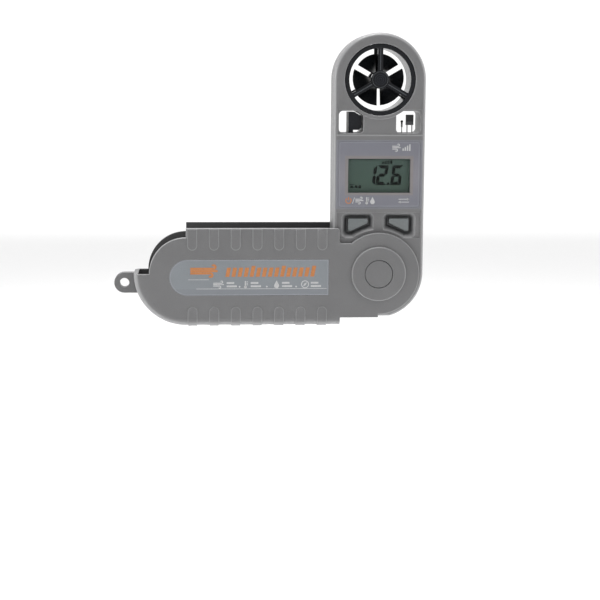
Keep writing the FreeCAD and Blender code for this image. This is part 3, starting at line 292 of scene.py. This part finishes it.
def case_paint(look):
    """Painted shade in the key wells, a dark seam, and painted highlights on the edges round the label and
    under the windows.
    """
    aside = look.maths("ABSOLUTE", look.x)
    return (
        (look.maths("MULTIPLY", sill_highlight(look, aside), 0.8), srgb(165, 165, 166)),
        (look.maths("MULTIPLY", well_shade(look, aside), 0.9), srgb(34, 36, 37)),
        (look.maths("MULTIPLY", seam_line(look), 0.7), SEAM_GREY),
        (look.maths("MULTIPLY", label_edge_highlight(look, aside), 0.6), srgb(132, 134, 145)),
    )


def distance(look, first, second):
    """How far a point is from the origin of two measures at right angles."""
    squares = (look.maths("MULTIPLY", side, side) for side in (first, second))
    return look.maths("SQRT", look.maths("ADD", *squares))


def rib_rim_highlights(look, drop):
    """A painted highlight line along the outline of each grip rib, which has round ends. drop is the height
    over the pivot.
    """
    from_first = look.maths("MULTIPLY", look.maths("ADD", look.x, RIB_FIRST), -1.0)
    across = look.maths("PINGPONG", from_first, RIB_PITCH / 2)
    over_top = look.maths("MINIMUM", look.maths("SUBTRACT", drop, RIB_TOP_END), 0.0)
    over_low = look.maths("MAXIMUM", look.maths("SUBTRACT", drop, RIB_LOW_END), 0.0)
    along = look.maths("MINIMUM", look.maths("MULTIPLY", over_top, -1.0), over_low)
    from_rim = look.maths("SUBTRACT", distance(look, across, along), RIB_HALF)
    return look.all_of(
        look.band(from_rim, -0.12 * MM, 0.26 * MM, 0.1 * MM),
        look.band(look.x, -RIB_FIRST - 6.5 * RIB_PITCH, -RIB_FIRST + 0.5 * RIB_PITCH),
        in_front(look, 0.0, 0.5),
    )


def sheath_paint(look):
    """The channel inside the sheath is coloured dark, darker towards the pivot, its seam is dark, and the
    ribs' outlines get a painted highlight.
    """
    back = look.maths("MINIMUM", look.maths("SUBTRACT", look.x, CHANNEL_END), 0.0)
    drop = look.maths("SUBTRACT", look.z, PIVOT.z)
    radius = distance(look, back, drop)
    depth = look.maths("ABSOLUTE", look.y)
    inside = look.all_of(
        look.ramp(depth, CHANNEL_HALF - 0.02 * MM, CHANNEL_HALF + 0.02 * MM, 1.0, 0.0),
        look.ramp(radius, CHANNEL_RADIUS - 0.1 * MM, CHANNEL_RADIUS + 0.1 * MM, 1.0, 0.0),
    )
    channel_dark = look.mix(look.ramp(look.x, -80 * MM, -25 * MM), srgb(72, 72, 73), srgb(46, 46, 48))
    outer_seam = look.all_of(seam_line(look), look.ramp(radius, 22 * MM, 23 * MM))
    return (
        (look.maths("MULTIPLY", rib_rim_highlights(look, drop), 0.9), srgb(150, 150, 151)),
        (look.maths("MULTIPLY", inside, 0.92), channel_dark),
        (look.maths("MULTIPLY", outer_seam, 0.7), SEAM_GREY),
    )


def key_paint(look):
    """Worn patches that are a little paler."""
    worn = look.noise(0.004, 3.0)
    return ((look.ramp(worn, 0.5, 0.9, 0.0, 0.35), srgb(134, 139, 140)),)


def label_paint(look):
    """Printed film: fine halftone streaks and a slightly warmer middle."""
    middle = look.band(look.z, above_pivot(38), above_pivot(50), 0.006)
    streaks = look.noise(0.0005, 2.0, (1, 1, 14))
    return (
        (look.maths("MULTIPLY", middle, 0.45), srgb(146, 142, 147)),
        (look.ramp(streaks, 0.45, 0.8, 0.0, 0.25), srgb(112, 113, 122)),
    )


def inlay_paint(look):
    """The sheath's label: a slightly darker strip along its lower edge and fine streaks along it."""
    strip = look.ramp(look.z, above_pivot(-6.9), above_pivot(-6.6), 1.0, 0.0)
    streaks = look.noise(0.0006, 2.0, (18, 1, 1))
    return (
        (look.maths("MULTIPLY", strip, 0.55), srgb(122, 126, 133)),
        (look.ramp(streaks, 0.45, 0.8, 0.0, 0.2), srgb(124, 129, 133)),
    )


def film(name, colour, paint):
    """Printed film: smooth, with a thin clear coat."""
    return moulded(name, colour, 0.36, 0.00012, 0.000003, 0.15, paint, Coat_Weight=0.25, Coat_Roughness=0.2)


def rubber(name, colour):
    """Matt rubber with dust in its pores."""
    look = Look(name)
    dust = look.noise(0.0011, 5.0, rough=0.7)
    tint = look.mix(look.ramp(dust, 0.4, 0.8), colour, shade(colour, 1.5))
    normal = look.bump(look.noise(0.00018, 3.0), 0.00002, 0.6)
    return look.finish(tint, look.ramp(dust, 0.3, 0.8, 0.7, 0.86), normal, Sheen_Weight=0.15)


THREAD_PITCH = 1.27 * MM


def metal(name, colour, roughness, stretch=(1, 12, 1), thread=False):
    """Turned or drawn metal: fine marks along one way, and a screw thread in the socket's wall with painted
    shade in its grooves.
    """
    look = Look(name)
    marks = look.noise(0.00012, 4.0, stretch, 0.6)
    stain = look.noise(0.003, 4.0)
    tint = look.mix(look.ramp(stain, 0.35, 0.8), shade(colour, 1.04), shade(colour, 0.78))
    tint = look.mix(look.ramp(marks, 0.5, 0.85, 0.0, 0.4), tint, shade(colour, 0.7))
    gloss = look.ramp(marks, 0.2, 0.8, roughness, roughness + 0.2)
    normal = look.bump(marks, 0.000006, 0.5)
    if thread:
        turn = look.maths("DIVIDE", look.maths("ARCTAN2", look.y, look.x), 2 * math.pi)
        rise = look.maths("DIVIDE", look.z, THREAD_PITCH)
        tooth = look.maths("PINGPONG", look.maths("ADD", rise, turn), 0.5)
        # Painted shade in the thread's grooves.
        tint = look.mix(look.ramp(tooth, 0.05, 0.4), shade(colour, 0.35), tint)
        normal = look.bump(tooth, 0.0005, 1.0, normal)
    return look.finish(tint, gloss, normal, Metallic=1.0)


def clear(name):
    """A clear moulded window: what is behind it shows through, and its polished face reflects."""
    look = Look(name)
    smears = look.noise(0.004, 4.0, (1, 1, 3), 0.65)
    through = look.tree.nodes.new("ShaderNodeBsdfTransparent")
    through.inputs["Color"].default_value = (0.93, 0.95, 0.94, 1)
    gloss = look.tree.nodes.new("ShaderNodeBsdfGlossy")
    look.link(look.ramp(smears, 0.4, 0.8, 0.04, 0.16), gloss.inputs["Roughness"])
    look.link(look.bump(look.noise(0.006, 2.0), 0.00001, 0.2), gloss.inputs["Normal"])
    fresnel = look.tree.nodes.new("ShaderNodeFresnel")
    fresnel.inputs["IOR"].default_value = 1.45
    blend = look.tree.nodes.new("ShaderNodeMixShader")
    look.link(look.maths("MULTIPLY", fresnel.outputs[0], 0.15), blend.inputs[0])
    look.link(through.outputs[0], blend.inputs[1])
    look.link(gloss.outputs[0], blend.inputs[2])
    out = look.tree.nodes["Material Output"]
    look.tree.links.new(blend.outputs[0], out.inputs["Surface"])
    look.tree.nodes.remove(look.shader)
    return look.material


GLASS_LOW, GLASS_HIGH = 36.3, 51.5  # what shows of the display, in millimetres above the pivot


def display_paint(look):
    """Grey-green liquid crystal: bluer towards its top, with the fine streaks of its polariser."""
    fade = look.ramp(look.z, above_pivot(GLASS_LOW), above_pivot(GLASS_HIGH))
    brush = look.noise(0.0004, 3.0, (1, 1, 30))
    return (
        (look.maths("MULTIPLY", fade, 0.5), srgb(101, 116, 113)),
        (look.ramp(brush, 0.45, 0.8, 0.0, 0.3), srgb(86, 101, 98)),
    )


def board_paint(look):
    """Green solder mask with tinned pads in rows and darker tracks."""
    pads = look.maths("PINGPONG", look.maths("DIVIDE", look.x, 1.27 * MM), 0.5)
    rows = look.maths("PINGPONG", look.maths("DIVIDE", look.z, 2.54 * MM), 0.5)
    dots = look.maths("MULTIPLY", look.ramp(pads, 0.36, 0.42), look.ramp(rows, 0.42, 0.46))
    tracks = look.ramp(look.noise(0.002, 0.0, (1, 1, 5)), 0.48, 0.5)
    return ((look.maths("MULTIPLY", tracks, 0.4), srgb(14, 66, 36)), (dots, srgb(176, 178, 176)))


def sensor_paint(look):
    """A dark cap over a paler base plate, on tinned legs, with its small openings painted near black as
    painted shade inside them.
    """
    low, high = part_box("humidity_sensor")
    split, legs = low.z + (high.z - low.z) * 0.62, low.z + 3.6 * MM
    port_shade = look.all_of(look.ramp(look.cells(0.0007), 0.2, 0.1), look.ramp(look.z, split, split + 0.1 * MM))
    return (
        (look.ramp(look.z, split + 0.05 * MM, split - 0.05 * MM), srgb(98, 101, 104)),
        (look.ramp(look.z, legs + 0.1 * MM, legs - 0.1 * MM), srgb(168, 168, 165)),
        (port_shade, srgb(8, 8, 9)),
    )


def bead_paint(look):
    """Below the bead its lead is tinned."""
    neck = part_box("thermistor")[1].z - 1.7 * MM
    return ((look.ramp(look.z, neck + 0.2 * MM, neck - 0.2 * MM), srgb(150, 148, 142)),)


case_grey = moulded("case_plastic", GREY, 0.4, edge_highlight=0.8, rim_highlight=0.5, mask=case_paint)
sheath_grey = moulded("sheath_plastic", srgb(115, 115, 116), 0.44, edge_highlight=0.9, rim_highlight=0.7, mask=sheath_paint)
cap_grey = moulded("pivot_cap_plastic", srgb(116, 116, 117), 0.4, edge_highlight=0.8)
cover_grey = moulded("battery_cover_plastic", GREY, 0.4)
key_rubber = moulded("key_rubber", srgb(122, 127, 128), 0.58, 0.0003, 0.00002, 0.3, key_paint)
label_film = film("face_label_film", srgb(122, 123, 133), label_paint)
inlay_film = film("sheath_label_film", srgb(134, 140, 145), inlay_paint)
ring_black = moulded("cartridge_plastic", srgb(22, 24, 28), 0.2, 0.0003, 0.000006, 0.4,
                     Specular_IOR_Level=0.2)
rotor_black = moulded("impeller_plastic", srgb(26, 28, 31), 0.3, 0.0003, 0.000006, 0.3,
                      Specular_IOR_Level=0.15)
part_black = moulded("component_plastic", srgb(26, 27, 29), 0.5, 0.0002, 0.00001, 0.3)
module_black = moulded("module_plastic", srgb(32, 34, 40), 0.4, 0.0003, 0.00001, 0.4, Specular_IOR_Level=0.2)
inner_grey = moulded("inner_plastic", srgb(190, 191, 192), 0.45)
washer_white = moulded("washer_plastic", srgb(222, 221, 214), 0.3, 0.0002, 0.000004, 0.1)
jewel_red = moulded("bearing_jewel", srgb(150, 24, 34), 0.12, 0.0004, 0.000002, 0.0, Coat_Weight=0.6)
lcd_glass = moulded("display_polariser", srgb(95, 111, 103), 0.3, 0.0002, 0.000002, 0.0, display_paint,
                    Specular_IOR_Level=0.1)
board_green = moulded("board_mask", srgb(22, 84, 48), 0.35, 0.0004, 0.000006, 0.1, board_paint)
sensor_black = moulded("humidity_sensor_plastic", srgb(34, 35, 37), 0.4, mask=sensor_paint)
bead_black = moulded("thermistor_epoxy", srgb(34, 32, 32), 0.25, 0.0004, 0.00001, 0.1, bead_paint)
black_rubber = rubber("seal_rubber", srgb(30, 30, 31))
steel = metal("drawn_steel", srgb(190, 190, 190), 0.24)
magnet_steel = metal("magnet_plating", srgb(160, 162, 165), 0.3)
brass = metal("insert_brass", srgb(201, 164, 92), 0.26, (12, 12, 1), thread=True)
window_clear = clear("window_clear")

MATERIALS = {
    case_grey: ("front_case", "rear_case"),
    sheath_grey: ("sheath_front", "sheath_rear"),
    cap_grey: ("front_pivot_cap", "rear_pivot_cap"),
    cover_grey: ("battery_cover",),
    key_rubber: ("mode_key", "unit_key"),
    label_film: ("face_label",),
    inlay_film: ("sheath_label",),
    ring_black: ("impeller_ring", "rear_bridge"),
    rotor_black: ("impeller_rotor",),
    part_black: ("board_components", "sounder", "key_switches", "speed_pickup"),
    module_black: ("compass_module",),
    inner_grey: ("display_holder", "sensor_header"),
    washer_white: ("front_washer", "rear_washer"),
    jewel_red: ("front_bearing", "rear_bearing"),
    lcd_glass: ("display_glass",),
    board_green: ("main_board",),
    sensor_black: ("humidity_sensor",),
    bead_black: ("thermistor",),
    black_rubber: ("case_seal", "battery_seal", "contact_strips"),
    steel: (
        "case_screws", "coin_cell", "negative_contact", "positive_contact", "impeller_pin", "pivot_axle",
    ),
    magnet_steel: ("rotor_magnet",),
    brass: ("tripod_insert",),
    window_clear: ("display_window",),
}
for material, names in MATERIALS.items():
    for name in names:
        NODES[name].data.materials.clear()
        NODES[name].data.materials.append(material)


# Printed and moulded details --------------------------------------------------------------------------


def ink(name, colour, roughness=0.45, specular=0.4):
    """Screen-printed ink: slightly uneven cover and a fine stipple."""
    look = Look(name)
    cover = look.noise(0.0006, 4.0, rough=0.7)
    tint = look.mix(look.ramp(cover, 0.35, 0.75), shade(colour, 0.86), shade(colour, 1.06))
    normal = look.bump(look.noise(0.00015, 2.0), 0.000004, 0.5)
    gloss = look.ramp(cover, 0.2, 0.8, roughness, roughness + 0.15)
    return look.finish(tint, gloss, normal, Specular_IOR_Level=specular)


def round_point(centre, radius, degrees):
    """A point on a circle, anticlockwise from its right as seen from the front."""
    turn = math.radians(degrees)
    return centre[0] + radius * math.cos(turn), centre[1] + radius * math.sin(turn)


class Relief:
    """Flat shapes in the X-Z plane, raised from a face towards -Y, or towards +Y with a height below 0.

    Points are (x, z) in millimetres from the middle of the face.
    """

    def __init__(self, name, body, slot, centre, level, height, material):
        self.name, self.body, self.slot, self.material = name, body, slot, material
        self.centre, self.level, self.height = centre, level, height
        self.mesh = bmesh.new()

    def corner(self, point, raised):
        """A vertex on the face itself, or on the raised top."""
        x, z = point
        y = self.level - (self.height if raised else 0)
        return self.mesh.verts.new((self.centre[0] + x * MM, y, self.centre[1] + z * MM))

    def area(self, points):
        """A filled outline, given anticlockwise as seen from the front."""
        top = [self.corner(p, True) for p in points]
        base = [self.corner(p, False) for p in points]
        self.mesh.faces.new(top)
        self.mesh.faces.new(base[::-1])
        for i in range(len(points)):
            j = (i + 1) % len(points)
            self.mesh.faces.new((base[i], base[j], top[j], top[i]))

    def stroke(self, points, width, closed=False):
        """A line of the given width along the points, with mitred corners."""
        count = len(points)
        left, right = [], []
        for i, point in enumerate(points):
            before = Vector(points[i - 1] if i or closed else point)
            after = Vector(points[(i + 1) % count] if i < count - 1 or closed else point)
            here = Vector(point)
            ways = [w.normalized() for w in (here - before, after - here) if w.length > 1e-9]
            way = sum(ways, Vector((0, 0))).normalized()
            side = Vector((-way.y, way.x))
            reach = width / 2 / max(0.4, side.dot(Vector((-ways[-1].y, ways[-1].x))))
            left.append(here + side * reach)
            right.append(here - side * reach)
        for i in range(count if closed else count - 1):
            j = (i + 1) % count
            self.area([right[i], right[j], left[j], left[i]])

    def arc(self, centre, radius, start, end, width, steps=24):
        """A line along a circle, from start to end in degrees."""
        turns = [start + (end - start) * i / steps for i in range(steps + 1)]
        self.stroke([round_point(centre, radius, turn) for turn in turns], width)

    def ring(self, centre, radius, width, steps):
        """A closed line along a circle."""
        self.stroke([round_point(centre, radius, 360 * i / steps) for i in range(steps)], width, closed=True)

    def dot(self, centre, radius, steps=20):
        """A filled circle."""
        self.area([round_point(centre, radius, 360 * i / steps) for i in range(steps)])

    def done(self):
        """Makes the object, and lets it ride on its body."""
        data = bpy.data.meshes.new(self.name)
        bmesh.ops.recalc_face_normals(self.mesh, faces=self.mesh.faces)
        self.mesh.to_mesh(data)
        self.mesh.free()
        piece = bpy.data.objects.new(self.name, data)
        bpy.context.scene.collection.objects.link(piece)
        data.materials.append(self.material)
        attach(piece, self.body)
        return piece


def rounded_rectangle(half_x, half_z, radius, steps=6):
    """Its outline about the origin, anticlockwise."""
    points = []
    for side_x, side_z, start in ((1, -1, -90), (1, 1, 0), (-1, 1, 90), (-1, -1, 180)):
        centre = (side_x * (half_x - radius), side_z * (half_z - radius))
        points += [round_point(centre, radius, start + 90 * i / steps) for i in range(steps + 1)]
    return points


def wind_sign(art, left, right, z, tall, width):
    """Three lines of wind; the outer two curl back at the end."""
    step, bend = tall * 0.2, tall * 0.15
    art.stroke([(left, z), (right, z)], width)
    for way, end in ((1, right - 2.2 * bend), (-1, right - 4 * bend)):
        level = z + way * step
        art.stroke([(left, level), (end, level)], width)
        art.arc((end, level + way * bend), bend, -90 * way, 150 * way, width, 16)


def thermometer_sign(art, x, z, size, width):
    """A bulb, a tube and three short marks beside it."""
    s = size / 10
    art.dot((x, z - 3.2 * s), 1.9 * s)
    art.stroke([(x, z - 3 * s), (x, z + 4.6 * s)], 1.7 * s)
    for level in (-0.4, 1.6, 3.6):
        art.stroke([(x + 1.5 * s, z + level * s), (x + 3.4 * s, z + level * s)], width)


def drop_sign(art, x, z, size):
    """A water drop: a point over an arc."""
    s = size / 10
    bowl = [round_point((x, z - 1.7 * s), 3.1 * s, 150 + 15 * i) for i in range(17)]
    art.area([(x, z + 5 * s), *bowl])


def compass_sign(art, x, z, size, width):
    """A ring round a needle in two halves."""
    s = size / 10
    art.ring((x, z), 4.4 * s, width, 28)
    for way in (s, -s):
        art.area([
            (x + 2.4 * way, z + 2.6 * way),
            (x - 1.1 * way, z + 0.9 * way),
            (x + 0.9 * way, z - 1.1 * way),
        ])


white_ink = ink("print_white", srgb(206, 206, 206))
orange_ink = ink("print_orange", srgb(205, 132, 74))
warm_ink = ink("print_warm_grey", srgb(141, 136, 136))
line_ink = ink("print_line", srgb(160, 162, 169))
dark_ink = ink("display_segment", srgb(16, 19, 19), 0.6, 0.1)

FACE = ((label_low.x + label_high.x) / 2, above_pivot(0))
PRINT = 0.02 * MM


def face_print(name, material):
    return Relief(name, "meter", "face_label_blue", FACE, label_low.y, PRINT, material)


def print_label_border():
    """A thin line just inside the face label's edge."""
    half = (label_high.x - label_low.x) / 2 / MM
    low, high = ((z - above_pivot(0)) / MM for z in (label_low.z, label_high.z))
    inset, bend, line = 0.55, 0.7, 0.16
    border = face_print("face_label_border", line_ink)
    outline = rounded_rectangle(half - inset, (high - low) / 2 - inset, bend)
    border.stroke([(x, z + (low + high) / 2) for x, z in outline], line, closed=True)
    border.done()


def print_surround():
    """A warm grey frame round the display, as four bars."""
    surround = face_print("display_surround", warm_ink)
    inner_x, inner_low, inner_high = 13.97, 36.28, 51.52
    outer_x, outer_low, outer_high = 15.35, 35.2, 52.8
    for low, high in ((outer_low, inner_low), (inner_high, outer_high)):
        surround.area([(-outer_x, low), (outer_x, low), (outer_x, high), (-outer_x, high)])
    for near, far in ((-outer_x, -inner_x), (inner_x, outer_x)):
        surround.area([(near, inner_low), (far, inner_low), (far, inner_high), (near, inner_high)])
    surround.done()


def print_signs():
    """A row of signs over the keys, and wind and level signs over the display."""
    row, top_row = 32.8, 56.5
    power = face_print("power_sign", orange_ink)
    power.arc((-13.7, row), 1.2, 125, 415, 0.42, 28)
    power.stroke([(-13.7, row + 0.2), (-13.7, row + 1.7)], 0.42)
    power.done()
    signs = face_print("face_signs", white_ink)
    signs.stroke([(-11.9, row - 1.3), (-11.0, row + 1.4)], 0.28)
    wind_sign(signs, -10.6, -7.0, row + 0.05, 3.1, 0.38)
    thermometer_sign(signs, -5.5, row, 3.3, 0.3)
    drop_sign(signs, -2.9, row, 3.3)
    for way in (-1, 1):
        z, tip = row + 0.65 * way, 11.25 + 2.65 * way
        signs.stroke([(8.9, z), (13.6, z)], 0.34)
        signs.area([(tip, z), (tip - 1.2 * way, z + 0.62 * way), (tip - 1.2 * way, z - 0.62 * way)])
    wind_sign(signs, 5.7, 9.5, top_row, 3.2, 0.42)
    for step in range(4):
        x = 10.6 + step
        signs.stroke([(x, top_row - 1.4), (x, top_row - 0.3 + 0.6 * step)], 0.62)
    signs.done()


SEGMENTS = {"1": "bc", "2": "abged", "6": "afgedc"}


def digit(art, character, x, z, width, height, thick, slant, gap=0.1):
    """A seven-segment digit that leans to the right, its foot's left corner at (x, z)."""
    half, middle = thick / 2, height / 2
    inner, outer = thick + gap, half + gap
    bar = ((gap, 0), (inner, thick), (width - inner, thick), (width - gap, 0))
    side = ((0, gap), (0, middle - outer), (half, middle - gap), (thick, middle - outer), (thick, inner))
    waist = (
        (outer, middle), (inner, middle + half), (width - inner, middle + half),
        (width - outer, middle), (width - inner, middle - half), (inner, middle - half),
    )

    def mirrored(points, across, up):
        return [(width - u if across else u, height - v if up else v) for u, v in points]

    shapes = {
        "a": mirrored(bar, False, True),
        "b": mirrored(side, True, True),
        "c": mirrored(side, True, False),
        "d": bar,
        "e": side,
        "f": mirrored(side, False, True),
        "g": waist,
    }
    for name in SEGMENTS[character]:
        art.area([(x + u + v * slant, z + v) for u, v in shapes[name]])


def print_display():
    """Three digits with a point, a row of level marks, and two small signs in the lower left corner."""
    art = Relief("display_digits", "meter", "display_grey", FACE, GLASS_FACE, 0.03 * MM, dark_ink)
    foot, tall, wide, thick, slant = 39.65, 8.9, 4.8, 1.45, 0.13
    for character, x in (("1", -6.5), ("2", -1.4), ("6", 5.2)):
        digit(art, character, x, foot, wide, tall, thick, slant)
    point, side = 3.75, 1.1
    lean = slant * side
    art.area([
        (point, foot), (point + side, foot), (point + side + lean, foot + side), (point + lean, foot + side),
    ])
    for step in range(4):
        x = 1.9 + 1.25 * step
        art.stroke([(x, 49.1), (x, 50.1 + 0.2 * step)], 0.85)
    base = 38.3
    art.area([(-12.9, base), (-11.1, base), (-12.0, base + 1.3)])
    art.stroke([(-12.9, base + 1.65), (-11.1, base + 1.65)], 0.35)
    for x in (-10.6, -9.0):
        art.area([(x, base), (x + 1.1, base), (x + 1.1, base + 1.2), (x, base + 1.2)])
    art.done()


def sheath_print(name, material):
    return Relief(name, "sheath", "sheath_label_grey", (0.0, above_pivot(0)), inlay_low.y, PRINT, material)


def print_wind_scale():
    """A wind sign and a row of leaning bars, every fifth a little taller."""
    orange = sheath_print("sheath_wind_scale", orange_ink)
    wind_sign(orange, -84.6, -72.4, 1.5, 5.2, 0.95)
    foot, wide, pitch = -1.1, 1.75, 2.72
    for step in range(15):
        x = -69.0 + pitch * step
        tall = 4.9 if step % 5 == 4 else 4.1
        lean = 0.2 * tall
        orange.area([(x, foot), (x + wide, foot), (x + wide + lean, foot + tall), (x + lean, foot + tall)])
    orange.done()


def print_sheath_signs():
    """Four signs with two bars beside each, dots between them, and thin lines over and under them."""
    row = -4.6
    white = sheath_print("sheath_signs", white_ink)
    wind_sign(white, -74.4, -69.6, row, 3.2, 0.42)
    thermometer_sign(white, -60.0, row, 3.4, 0.36)
    drop_sign(white, -46.0, row, 3.6)
    compass_sign(white, -33.2, row, 3.6, 0.4)
    for x in (-68.4, -57.6, -43.6, -30.6):
        for z, length in ((row - 0.8, 4.6), (row + 0.7, 3.4)):
            white.stroke([(x, z), (x + length, z)], 0.8)
    for x in (-62.6, -50.4, -37.2):
        white.dot((x, row - 1.0), 0.4, 12)
    for start, end, z in ((-85.6, -76.4, -2.4), (-82.0, -23.4, -6.55)):
        white.stroke([(start, z), (end, z)], 0.24)
    white.done()


def print_sheath_rim():
    """A line just inside the sheath label's edge, which is round at its far end."""
    rim = sheath_print("sheath_label_rim", line_ink)
    inset = 0.3
    low_x, high_x = inlay_low.x / MM, inlay_high.x / MM
    half = (inlay_high.z - inlay_low.z) / 2 / MM - inset
    middle = ((inlay_low.z + inlay_high.z) / 2 - above_pivot(0)) / MM
    bend = (low_x + inset + half, middle)
    points = [(high_x - inset, middle - half), (high_x - inset, middle + half)]
    points += [round_point(bend, half, 90 + 180 * i / 24) for i in range(25)]
    rim.stroke(points, 0.34, closed=True)
    rim.done()


def ridge_spokes():
    """A fine moulded ridge down each spoke of the front bridge, and rings round its hub."""
    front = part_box("impeller_ring")[0].y + 0.4 * MM
    ridges = Relief(
        "bridge_ridges", "meter", "ring_black", (HEAD.x, HEAD.z), front, 0.16 * MM,
        moulded("ridge_plastic", srgb(52, 57, 62), 0.32, edge_highlight=0.2),
    )
    for turn in (90, 210, 330):
        ridges.stroke([round_point((0, 0), reach, turn) for reach in (4.2, 13.6)], 0.4)
    ridges.ring((0, 0), 3.45, 0.22, 40)
    ridges.done()
    hub = Relief(
        "bridge_hub_rings", "meter", "ring_black", (HEAD.x, HEAD.z), front - 0.3 * MM, 0.08 * MM,
        moulded("hub_ring_plastic", srgb(30, 34, 46), 0.4, edge_highlight=0.1, Specular_IOR_Level=0.2),
    )
    for radius in (0.7, 1.5, 2.3):
        hub.ring((0, 0), radius, 0.2, 32)
    hub.done()


def cover_marks(raised):
    """How the battery cover turns: an arrow, a dot and a ring on the case, and a pointer on the cover."""
    low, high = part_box("battery_cover")
    centre = ((low.x + high.x) / 2, (low.z + high.z) / 2)
    cover = (high.x - low.x) / 2 / MM
    case_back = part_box("rear_case")[1].y
    marks = Relief("cover_turn_marks", "meter", "case_grey", centre, case_back, -0.12 * MM, raised)
    sweep, wing = cover + 1.6, 0.9
    marks.arc((0, 0), sweep, 30, 64, 0.5, 16)
    marks.area([
        round_point((0, 0), sweep, 70),
        round_point((0, 0), sweep - wing, 63),
        round_point((0, 0), sweep + wing, 63),
    ])
    marks.dot((0, sweep), 0.7)
    marks.ring(round_point((0, 0), sweep, 135), 0.6, 0.35, 20)
    marks.done()
    pointer = Relief("cover_pointer", "battery_cover", "case_grey", centre, high.y, -0.12 * MM, raised)
    pointer.area([(0, cover - 0.8), (-wing, cover - 2.4), (wing, cover - 2.4)])
    pointer.done()


def rear_panel(raised):
    """A raised outline with a ring near each end, on the sheath's rear plate."""
    middle = ((inlay_low.x + inlay_high.x) / 2, (inlay_low.z + inlay_high.z) / 2)
    half_x, half_z = (inlay_high.x - inlay_low.x) / 2 / MM, (inlay_high.z - inlay_low.z) / 2 / MM
    panel = Relief("sheath_rear_panel", "sheath", "sheath_grey", middle, REAR_FACE, -0.15 * MM, raised)
    panel.stroke(rounded_rectangle(half_x, half_z, half_z * 0.9, 12), 0.5, closed=True)
    for x in (half_z - half_x, half_x - half_z):
        panel.ring((x, 0), 2.6, 0.3, 32)
    panel.done()


print_label_border()
print_surround()
print_signs()
print_display()
print_wind_scale()
print_sheath_signs()
print_sheath_rim()
ridge_spokes()
mark_plastic = moulded("raised_mark_plastic", srgb(134, 134, 135), 0.4, edge_highlight=0.6)
cover_marks(mark_plastic)
rear_panel(mark_plastic)


# Studio -----------------------------------------------------------------------------------------------


def backdrop_sheet():
    """A pale floor that curves up into a backdrop."""
    floor_z, reach, bend = -0.118, 4.0, 1.2
    mesh = bmesh.new()
    curve = [round_point((reach - bend, floor_z + bend), bend, 90 * i / 16 - 90) for i in range(17)]
    profile = [(-reach, floor_z), *curve, (reach, reach)]
    rows = [[mesh.verts.new((x, y, z)) for x in (-reach * 1.5, reach * 1.5)] for y, z in profile]
    for near, far in zip(rows, rows[1:]):
        mesh.faces.new((near[0], near[1], far[1], far[0]))
    data = bpy.data.meshes.new("backdrop")
    mesh.to_mesh(data)
    mesh.free()
    data.shade_smooth()
    backdrop = bpy.data.objects.new("backdrop", data)
    bpy.context.scene.collection.objects.link(backdrop)
    look = Look("backdrop_paper")
    fibres = look.noise(0.004, 3.0)
    look.finish(look.mix(fibres, (0.9, 0.9, 0.9, 1), (0.93, 0.93, 0.93, 1)), 0.9)
    data.materials.append(look.material)


def lamps():
    """A white surround and large soft lamps, three on the meter and one on the backdrop."""
    world = bpy.data.worlds.new("studio")
    world.use_nodes = True
    world.node_tree.nodes["Background"].inputs["Color"].default_value = (1, 1, 1, 1)
    world.node_tree.nodes["Background"].inputs["Strength"].default_value = 1.0
    bpy.context.scene.world = world
    meter = Vector((-0.03, 0.0, 0.06))
    wall = Vector((0.0, 3.5, 0.8))
    placed = (
        ("left_lamp", (-1.3, 0.1, 0.12), meter, 0.9, 2.2, 60),
        ("right_lamp", (1.2, 0.1, 0.25), meter, 0.9, 1.2, 60),
        ("top_lamp", (-0.1, 0.1, 1.4), meter, 0.9, 5.0, 60),
        ("backdrop_lamp", (0.0, 1.4, 1.1), wall, 1.6, 12.0, 150),
    )
    for name, place, target, size, power, spread in placed:
        lamp = bpy.data.lights.new(name, "AREA")
        lamp.size = size
        lamp.energy = power
        lamp.spread = math.radians(spread)
        holder = bpy.data.objects.new(name, lamp)
        holder.location = place
        holder.rotation_euler = (target - Vector(place)).to_track_quat("-Z", "Y").to_euler()
        bpy.context.scene.collection.objects.link(holder)
    bpy.context.scene.view_settings.view_transform = "Standard"


def camera():
    """A long lens a little above the meter and to its left."""
    data = bpy.data.cameras.new("camera")
    data.sensor_width = 36.0
    data.lens = 86.1
    data.clip_start = 0.01
    data.clip_end = 50.0
    azimuth, elevation, roll = (math.radians(angle) for angle in (4.08, 8.56, 0.33))
    target, distance_away = Vector((-0.03464, 0.0, 0.00639)), 0.6571
    level = math.cos(elevation)
    back = Vector((-math.sin(azimuth) * level, -math.cos(azimuth) * level, math.sin(elevation)))
    right = (-back).cross(Vector((0, 0, 1))).normalized()
    rise = back.cross(right)
    turned_right = right * math.cos(roll) + rise * math.sin(roll)
    turned_rise = rise * math.cos(roll) - right * math.sin(roll)
    matrix = Matrix((turned_right, turned_rise, back)).transposed().to_4x4()
    matrix.translation = target + back * distance_away
    holder = bpy.data.objects.new("camera", data)
    holder.matrix_world = matrix
    bpy.context.scene.collection.objects.link(holder)
    bpy.context.scene.camera = holder


backdrop_sheet()
lamps()
camera()
